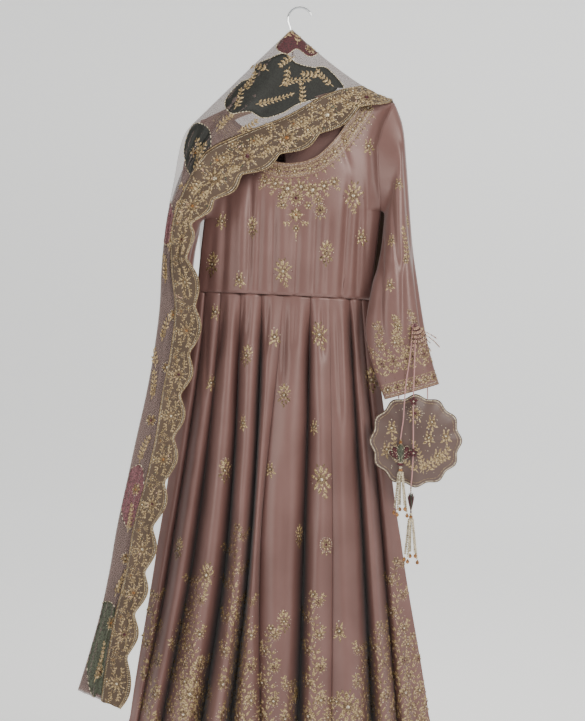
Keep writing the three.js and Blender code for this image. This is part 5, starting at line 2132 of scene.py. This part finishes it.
@dataclass
class DupattaEmbroidery:
    """Florals of the borders, patches and sprigs of the net.

    Attributes:
        pieces: The cloths of the dupatta.
        stretches: Both stretches, for their shapes.
    """

    pieces: dict[str, bpy.types.Object]
    stretches: tuple[Stretch, Stretch]

    LEAF_TONES = (Tone.GOLD, Tone.GOLD, Tone.OLD_GOLD, Tone.GOLD, Tone.BLUSH, Tone.GREEN)

    @staticmethod
    def spot(
        stretch: Stretch, grid: Array, station: float, share: float
    ) -> tuple[float, float, float, float]:
        """Find a place on a border.

        Args:
            stretch: The stretch that the border belongs to.
            grid: The border's grid of points.
            station: Place along it, in cusps.
            share: Share of its width, from the net outwards.

        Returns:
            X, height, slope in degrees and width of the border there.
        """
        row, column = station * stretch.band_steps, share * (grid.shape[1] - 1)
        i, j = min(int(row), len(grid) - 2), min(int(column), grid.shape[1] - 2)
        a, b = row - i, column - j
        point = lerp(lerp(grid[i, j], grid[i, j + 1], b), lerp(grid[i + 1, j], grid[i + 1, j + 1], b), a)
        way = grid[i + 1, j] - grid[i, j]
        wide = float(np.linalg.norm(grid[i, -1] - grid[i, 0]))
        return point[0], point[2], math.degrees(math.atan2(way[2], way[0])), wide

    def border(self, threads: Embroidery, stretch: Stretch) -> None:
        """Fill one border with flowers, leaves and an edge cord.

        Args:
            threads: Embroidery to add to.
            stretch: The stretch that the border belongs to.
        """
        grid = stretch.border_points()
        last = len(stretch.table) - 1
        flip = 1 if stretch.side == FRONT else -1
        for k in range(last):
            for n in range(30):
                station = k + (n + 0.5) / 30
                for share, shape, long, wide, tone in (
                    (0.985, Stitch.LEAF, 4.4, 2.2, Tone.GOLD), (0.94, Stitch.BEAD, 2.3, 2.3, Tone.STONE),
                    (0.89, Stitch.LEAF, 4.2, 1.8, Tone.GOLD), (0.03, Stitch.LEAF, 4.4, 2.0, Tone.GOLD),
                    (0.08, Stitch.BEAD, 2, 2, Tone.STONE),
                ):
                    x, z, lean, _ = self.spot(stretch, grid, station, share)
                    threads.motif([(shape, 0, 0, flip * lean + 18, long, wide, tone)], x, z)
            x, z, lean, wide = self.spot(stretch, grid, k + 0.5, 0.54)
            size = min(wide / 78, 1.0)
            heart = (Tone.MAROON, Tone.STONE, Tone.COPPER)[k % 3]
            flower = [
                *rosette(17, 9, heart), *beads(24, 20, 1.9, Tone.STONE), *ring(9, 23, 9, 4.2, Tone.GOLD, 70),
                *sprig(18, 6, 30, 3, 7.5, -20), *sprig(-18, 6, 150, 3, 7.5, 20),
                *sprig(18, -10, -22, 3, 7, 18), *sprig(-18, -10, 202, 3, 7, -18),
            ]
            threads.motif(flower, x, z, size, flip * lean)
            for station, share, tone in (
                (0.08, 0.3, Tone.COPPER), (0.92, 0.34, Tone.STONE), (0.5, 0.15, Tone.STONE),
                (0.03, 0.66, Tone.STONE)
            ):
                x, z, lean, wide = self.spot(stretch, grid, min(k + station, last - 0.01), share)
                small = rosette(8.5, 6, tone) + beads(10, 10.6, 1.7, Tone.STONE)
                small += ring(3, 13, 7, 3, Tone.GOLD, 30 * k)
                threads.motif(small, x, z, min(wide / 70, 1.0), flip * lean)
            for _ in range(16):
                station, share = k + threads.random.uniform(0, 0.999), threads.random.uniform(0.14, 0.86)
                x, z, lean, wide = self.spot(stretch, grid, station, share)
                tone = self.LEAF_TONES[threads.random.integers(len(self.LEAF_TONES))]
                leaf = [
                    (Stitch.LEAF, 3, 0, 0, 9, 3.6, tone), (Stitch.LEAF, -2, 3, 60, 6, 2.6, Tone.GOLD),
                    bead(-3, -2, 2)
                ]
                threads.motif(leaf, x, z, min(wide / 70, 1.0), threads.random.uniform(0, 360))

    def patch(
        self, threads: Embroidery, number: int, tone: Tone, outline: Sequence[tuple[float, float]], word: str
    ) -> None:
        """Lay one cloth patch on the net and couch a cord round it.

        Args:
            threads: Embroidery to add to.
            number: Number of the patch.
            tone: Its colour.
            outline: Its corners in X and Z.
            word: front or back.
        """
        corners = np.array([*outline, outline[0]], float)
        edge = curve(
            np.concatenate([corners[-2:-1], corners, corners[1:2]]),
            np.linspace(1, len(corners), 12 * (len(corners) - 1) + 1)
        )
        middle = edge[:-1].mean(axis=0)
        shares = np.linspace(0, 1, 10)
        points, keep = [], []
        for share in shares:
            for x, z in lerp(middle, edge, share):
                found = threads.land(x, z)
                keep.append(found is not None)
                points.append(found[0] + found[1] * 0.5 if found else (x, 0, z))
        columns = len(edge)
        faces = []
        for i in range(len(shares) - 1):
            for j in range(columns - 1):
                quad = [
                    i * columns + j, i * columns + j + 1, (i + 1) * columns + j + 1, (i + 1) * columns + j
                ]
                depth = [points[k][1] for k in quad]
                if all(keep[k] for k in quad) and max(depth) - min(depth) < 12:
                    faces.append(quad)
        if not faces:
            return
        mesh = bpy.data.meshes.new(f"patch_{word}_{number}")
        mesh.from_pydata((np.array(points, float) * MM).tolist(), [], faces)
        build = bmesh.new()
        build.from_mesh(mesh)
        bmesh.ops.remove_doubles(build, verts=build.verts, dist=2e-5)
        bmesh.ops.delete(build, geom=[v for v in build.verts if not v.link_faces], context="VERTS")
        build.to_mesh(mesh)
        build.free()
        colour = mesh.attributes.new("tone", "FLOAT", "POINT")
        colour.data.foreach_set("value", [tone.value] * len(mesh.vertices))
        cloth = link(mesh.name, mesh)
        thicken(cloth, PATCH_THICK)
        dress(cloth, APPLIQUE, toned=True)
        for (x, z), (across, up) in zip(edge[::2], np.gradient(edge, axis=0)[::2]):
            lean = math.degrees(math.atan2(up, across))
            flip = 1 if threads.side == FRONT else -1
            threads.motif([(Stitch.LEAF, 0, 0, lean * flip, 6, 2.2, Tone.STONE)], x, z)

    def net(self, threads: Embroidery, word: str) -> None:
        """Dress one net.

        Args:
            threads: Embroidery to add to.
            word: front or back.
        """
        if word == "front":
            for number, (tone, outline) in enumerate(PATCHES_FRONT):
                self.patch(threads, number, tone, outline, word)
            for x, z, radius, heart in FLOWERS_FRONT:
                flower = rosette(radius, 9 if radius > 12 else 6, heart)
                flower += beads(16, 1.2 * radius, 1.8, Tone.STONE)
                if radius > 20:
                    flower += ring(14, 1.6 * radius, 16, 5, Tone.GOLD, 10)
                    flower += beads(24, 2.1 * radius, 2, Tone.STONE)
                threads.motif(flower, x, z)
            for x, z, angle, pairs, bend in FERNS_FRONT:
                threads.motif(sprig(0, 0, angle, pairs, 8, bend), x, z)
        else:
            for number in range(9):
                x = -150 + 110 * (number % 3) + 16 * math.sin(number)
                z = -300 - 250 * (number // 3) - 30 * (number % 2)
                heart = (Tone.COPPER, Tone.STONE, Tone.MAROON)[number % 3]
                flower = rosette(16, 8, heart) + beads(16, 19, 1.8, Tone.STONE)
                threads.motif(flower + sprig(0, -18, -100, 5, 8, 6) + sprig(0, 18, 80, 4, 8, -6), x, z)
            for number, (x, z) in enumerate(((-90, -420), (40, -560), (-120, -760))):
                turns = np.arange(8) * math.pi / 4
                shape = [
                    (x + 34 * math.cos(a), z + 46 * math.sin(a) * (1 + 0.2 * math.cos(3 * a))) for a in turns
                ]
                self.patch(threads, number, (Tone.BLACK_GREEN, Tone.MAROON, Tone.PLUM)[number], shape, word)

    def build(self) -> None:
        """Sew both stretches."""
        for stretch, word in zip(self.stretches, ("front", "back")):
            threads = Embroidery(
                f"dupatta_{word}_border_threads", (self.pieces[f"dupatta_{word}_band"],), stretch.side, 41,
                0.65
            )
            self.border(threads, stretch)
            threads.build()
            threads = Embroidery(
                f"dupatta_{word}_net_threads", (self.pieces[f"dupatta_{word}_net"],), stretch.side, 51, 0.75
            )
            self.net(threads, word)
            threads.build()


@dataclass
class PouchTrim:
    """Sprigs and edge of the pouch, its charms, bead flowers, tassels and fringe.

    Attributes:
        pouch: The pouch.
        body: Its cloth.
    """

    pouch: Pouch
    body: bpy.types.Object

    # Strands of a tassel, their length and the step between pearls
    STRANDS = 5
    STRAND_LONG = 84
    PEARL_STEP = 4.3
    # Radius that loose beads are sown over
    SOWN = 84
    # Foot, direction, pairs of leaves and bend of each sprig, then place and kind of each flower
    SPRIGS = (
        (234, -902, 96, 8, 3.5), (228, -900, 62, 6, -7), (240, -898, 44, 6, -4), (224, -900, 128, 6, 8),
        (262, -872, 30, 3, 10), (186, -868, 120, 4, -10),
    )
    BUDS = (
        (218, -787, "star"), (173.6, -816, "small"), (250, -805, "small"), (277, -832, "small"),
        (244, -834, "small"), (261, -869, "small"), (164, -857, "small"),
    )

    def face(self) -> None:
        """Sew both faces of the pouch and its edge."""
        x_middle, _, z_middle = self.pouch.centre
        for side, word in ((FRONT, "front"), (BACK, "back")):
            threads = Embroidery(f"pouch_{word}_embroidery", (self.body,), side, 61, 0.0)
            for x, z, angle, pairs, bend in self.SPRIGS:
                threads.motif(sprig(0, 0, angle, pairs, 7.5, bend), x, z, 1.05)
            for x, z, kind in self.BUDS:
                threads.motif(KameezEmbroidery.KINDS[kind](), x, z, 1.15)
            for turn in np.linspace(0, 2 * math.pi, 230, endpoint=False):
                for share, shape, long, wide, tone in (
                    (0.965, Stitch.LEAF, 4, 2.4, Tone.STONE), (0.9, Stitch.BEAD, 1.9, 1.9, Tone.GOLD)
                ):
                    r = float(self.pouch.rim(np.array(turn), share))
                    x, z = polar(x_middle, z_middle, r, turn)
                    lean = math.degrees(turn) + 115 if side == FRONT else 65 - math.degrees(turn)
                    threads.motif([(shape, 0, 0, lean, long, wide, tone)], x, z)
            for _ in range(70):
                turn = threads.random.uniform(0, 2 * math.pi)
                share = math.sqrt(threads.random.uniform(0.02, 0.7))
                threads.motif([bead(0, 0, 2)], *polar(x_middle, z_middle, self.SOWN * share, turn))
            threads.build()

    def tassel(self, word: str, x: float, y: float, top: float) -> None:
        """String one tassel of pearls with amber ends.

        Args:
            word: left or right.
            x: Middle in X.
            y: Middle in Y.
            top: Height of its top.
        """
        string = Beadwork(f"tassel_{word}_pearls", PEARL)
        string.add((x, y, top - 3), (3.2, 3.2, 3), Tone.STONE)
        string.add((x, y, top - 8), (4, 4, 3), Tone.COPPER)
        string.add((x, y, top - 13.5), (6.4, 6.4, 3.6), Tone.STONE)
        fan = np.array((0.11, 0.03))
        for k in range(self.STRANDS):
            turn = 2 * math.pi * k / self.STRANDS + 0.4
            way = np.array((math.cos(turn), math.sin(turn)))
            drop = self.STRAND_LONG * (0.92 + 0.08 * math.cos(2.4 * k))
            for step in np.arange(2, drop - 12, self.PEARL_STEP):
                at = np.array((x, y)) + way * (4.2 + fan * step)
                string.add((*at, top - 15 - step), (2.4, 2.3, 2.4), Tone.STONE)
            at = np.array((x, y)) + way * (4.2 + fan * drop)
            string.add((*at, top - 15 - drop + 8.6), (1.4, 1.4, 1.4), Tone.GOLD)
            string.add((*at, top - 15 - drop + 4.2), (3.5, 2.8, 3.9), Tone.COPPER)
        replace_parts(string.build(), f"tassel_{word}")

    def charms(self) -> None:
        """Make the two lotus charms."""
        for word, x, y, top, across, through in (
            ("left", 190, -82, -836, 1.0, 1.0), ("right", 209.5, -82, -926.6, 0.24, 4.2)
        ):
            bloom = Beadwork(f"charm_{word}_velvet", VELVET)
            gilt = Beadwork(f"charm_{word}_gilt", ZARI)
            front = 1.6 * (1 if across == 1 else 0.2)
            for lean, out, size, tone in (
                (0, 0, 1.0, Tone.GREEN), (24, 7, 0.94, Tone.MAROON), (-24, -7, 0.94, Tone.MAROON),
                (50, 12.5, 0.72, Tone.MAROON), (-50, -12.5, 0.72, Tone.MAROON),
            ):
                spin = math.radians(lean)
                behind = 0 if tone is Tone.GREEN else 0.8
                middle = (x + out * across, y + behind, top - 27 - 0.22 * abs(out))
                bloom.add(middle, (8 * size * across, 2.7 * through * size, 18 * size), tone, spin * across)
                for a in np.arange(0, 2 * math.pi, 0.3):
                    u, v = 8 * size * math.cos(a) * across, 18 * size * math.sin(a)
                    turn = spin * across
                    u, v = u * math.cos(turn) + v * math.sin(turn), -u * math.sin(turn) + v * math.cos(turn)
                    gilt.add((middle[0] + u, y - front, middle[2] + v), (0.8, 0.8, 0.8), Tone.STONE)
            bloom.add((x, y, top - 47), (7 * across, 2.6, 3.2), Tone.MAROON)
            gilt.add((x, y, top - 1.6), (2, 2, 1.8), Tone.GOLD)
            gilt.add((x, y, top - 6), (2.6 * across + 0.6, 2.4, 3), Tone.COPPER)
            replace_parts(bloom.build(), f"charm_{word}")
            gilt.build()

    def flowers(self) -> None:
        """Make the two bead flowers on the long cord."""
        path = np.array(CORD_RIGHT, float)
        for number, z in enumerate((-764, -862)):
            x, y = (np.interp(-z, -path[:, 2], path[:, k]) for k in (0, 1))
            flower = Beadwork(f"bead_flower_{number + 1}_velvet", VELVET)
            for k in range(5):
                turn = 2 * math.pi * k / 5
                at = (x + 4.8 * math.sin(turn), y - 3.2, z + 4.8 * math.cos(turn))
                flower.add(at, (2.7, 1.4, 3.8), Tone.MAROON, turn)
            flower.add((x, y - 4.2, z), (1.8, 1.5, 1.8), Tone.STONE)
            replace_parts(flower.build(), f"bead_flower_{number + 1}")

    def fringe(self) -> None:
        """String the bead fringe and wind the knot."""
        foot = np.array((217, -92.4, -620.0))
        string = Beadwork("knot_fringe_beads", CORAL)
        string.add(foot, (4, 4, 3), Tone.PLUM)
        for k in range(9):
            lean, long = lerp(-0.25, 1, k / 8), lerp(34, 66, ((k * 5) % 9) / 9)
            way = np.array((math.sin(lean), 0, -math.cos(lean)))
            sag = 0.12 * (k - 4)
            for n, step in enumerate(np.arange(2.5, long, 2.7)):
                bend = np.array((math.sin(0.16 * step + k) * sag * 3, -(k % 2) - 0.02 * step, 0))
                tone = Tone.BLUSH if n % 3 else Tone.MAROON
                string.add(foot + way * step + bend, (1.25, 1.25, 1.35), tone)
        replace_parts(string.build(), "knot_fringe")
        knot = Beadwork("cord_knot_silk", SILK_CORD)
        for k in range(7):
            turn = 2 * math.pi * k / 7
            u, z = polar(214.5, -622, 2.1, turn)
            knot.add((u, -84, z), (2.6, 4.4, 1.7), Tone.BLUSH, turn)
        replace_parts(knot.build(toned=False), "cord_knot")

    def build(self) -> None:
        """Make all the trim."""
        self.face()
        self.tassel("left", 190, -82, -886.3)
        self.tassel("right", 209.5, -82, -974.9)
        self.charms()
        self.flowers()
        self.fringe()


@dataclass
class Studio:
    """Camera, lights, floor and wall of the product view, in metres.

    Attributes:
        aim: Point that the camera looks at.
        away: Its distance.
        field_tall: Height that the view takes in there.
        floor_z: Height of the floor.
        cove_start: Length of the floor before it curves up.
        cove_radius: Radius of that curve.
    """

    aim: tuple[float, float, float] = (-0.0146, 0.0, -0.6868)
    away: float = 2.8
    field_tall: float = 1.406
    floor_z: float = -1.62
    cove_start: float = 15.0
    cove_radius: float = 3.0

    # Length and half width of the paper, and how far in front of the suit it starts
    PAPER_LONG = 26
    PAPER_SIDE = 12
    PAPER_NEAR = 9
    # Height of the camera's sensor in millimetres
    SENSOR = 36

    def camera(self) -> None:
        """Place the camera straight in front."""
        data = bpy.data.cameras.new("camera")
        data.sensor_fit = "VERTICAL"
        data.sensor_height = self.SENSOR
        data.lens = self.SENSOR * self.away / self.field_tall
        data.clip_end = 50
        camera = bpy.data.objects.new("camera", data)
        bpy.context.scene.collection.objects.link(camera)
        camera.location = (self.aim[0], -self.away, self.aim[2])
        camera.rotation_euler = (math.pi / 2, 0, 0)
        bpy.context.scene.camera = camera

    def lights(self) -> None:
        """Hang the soft lamps and set the pale surroundings."""
        world = bpy.data.worlds.new("studio")
        world.use_nodes = True
        back = world.node_tree.nodes["Background"]
        back.inputs["Color"].default_value = linear("#d2d1cf")
        back.inputs["Strength"].default_value = 0.8
        bpy.context.scene.world = world
        for name, place, size, power in (
            ("key", (1.9, -2.4, 0.9), 1.6, 92), ("fill", (-2.3, -2.2, -0.2), 1.8, 36),
            ("top", (0.2, 0.6, 2.0), 1.2, 22),
        ):
            data = bpy.data.lights.new(name, "AREA")
            data.energy = power
            data.size = size
            data.color = linear("#fffaf2")[:3]
            lamp = bpy.data.objects.new(name, data)
            bpy.context.scene.collection.objects.link(lamp)
            lamp.location = place
            lamp.rotation_euler = (Vector((0, 0, -0.7)) - Vector(place)).to_track_quat("-Z", "Y").to_euler()
            lamp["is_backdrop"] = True

    def room(self) -> None:
        """Lay the floor and stand the wall behind, with painted light that brightens them to the right."""
        mesh = bpy.data.meshes.new("backdrop")
        build = bmesh.new()
        bmesh.ops.create_grid(build, x_segments=1, y_segments=48, size=1.0)
        for vertex in build.verts:
            run = (vertex.co.y + 1) / 2 * self.PAPER_LONG
            bent = min(max(run - self.cove_start, 0) / self.cove_radius, math.pi / 2)
            straight = max(run - self.cove_start - self.cove_radius * math.pi / 2, 0)
            vertex.co.x *= self.PAPER_SIDE
            vertex.co.y = min(run, self.cove_start) + self.cove_radius * math.sin(bent) - self.PAPER_NEAR
            vertex.co.z = self.floor_z + self.cove_radius * (1 - math.cos(bent)) + straight
        build.to_mesh(mesh)
        build.free()
        mesh.polygons.foreach_set("use_smooth", [True] * len(mesh.polygons))
        backdrop = bpy.data.objects.new("backdrop", mesh)
        bpy.context.scene.collection.objects.link(backdrop)
        paper = bpy.data.materials.new("Pale paper with painted light")
        paper.use_nodes = True
        surface = paper.node_tree.nodes["Principled BSDF"]
        surface.inputs["Base Color"].default_value = linear("#f4f5f5")
        surface.inputs["Roughness"].default_value = 0.9
        # Painted light: the paper glows on its own, brighter towards +X, as if lamps lit its right side more
        surface.inputs["Emission Color"].default_value = linear("#d4d4d3")
        place = node(paper.node_tree, "ShaderNodeTexCoord").outputs["Object"]
        across = node(paper.node_tree, "ShaderNodeSeparateXYZ", links={"Vector": place})
        painted_glow = node(
            paper.node_tree, "ShaderNodeMapRange",
            {"in:From Min": -2.4, "in:From Max": 2.4, "in:To Min": 0.68, "in:To Max": 0.98},
            {"Value": across.outputs["X"]},
        )
        paper.node_tree.links.new(painted_glow.outputs["Result"], surface.inputs["Emission Strength"])
        mesh.materials.append(paper)
        backdrop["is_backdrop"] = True


@dataclass(frozen=True)
class Cut:
    """The flat cut of a cloth.

    Attributes:
        width: Metres.
        length: Metres.
        area: Square metres.
        held: How it is held.
        rests_on: What holds it.
        trims: Starts of the names of the pieces on it.
    """

    width: float
    length: float
    area: float
    held: str
    rests_on: tuple[str, ...]
    trims: tuple[str, ...] = ()


def declare_cloth() -> None:
    """Dress the salwar, folded over the bar, in the satin."""
    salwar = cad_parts["salwar_folded"]
    dress(salwar, SATIN)


def write_sizes(when: str, sizes: dict[str, list]) -> None:
    """Note the boxes of the solids and of the dressed pieces in a table.

    Args:
        when: "solids" or "dressed".
        sizes: The table, with what it already holds.
    """
    sizes[when] = [[float(value) for value in corner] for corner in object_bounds()]


def main() -> None:
    """Build the scene."""
    logging.basicConfig(level=logging.INFO, format="%(message)s")
    sizes: dict[str, list] = {}
    write_sizes("solids", sizes)
    studio = Studio()
    studio.camera()
    cords = Cords()
    cords.build()
    hanger = Hanger()
    hanger.build()
    kameez = Kameez(hanger)
    kameez.build()
    dupatta = Dupatta()
    dupatta.build()
    pouch = Pouch()
    PouchTrim(pouch, pouch.build()).build()
    KameezEmbroidery(kameez.pieces, hanger).build()
    DupattaEmbroidery(dupatta.pieces, dupatta.stretches).build()
    declare_cloth()
    studio.lights()
    studio.room()
    write_sizes("dressed", sizes)


if __name__ == "__main__":
    main()
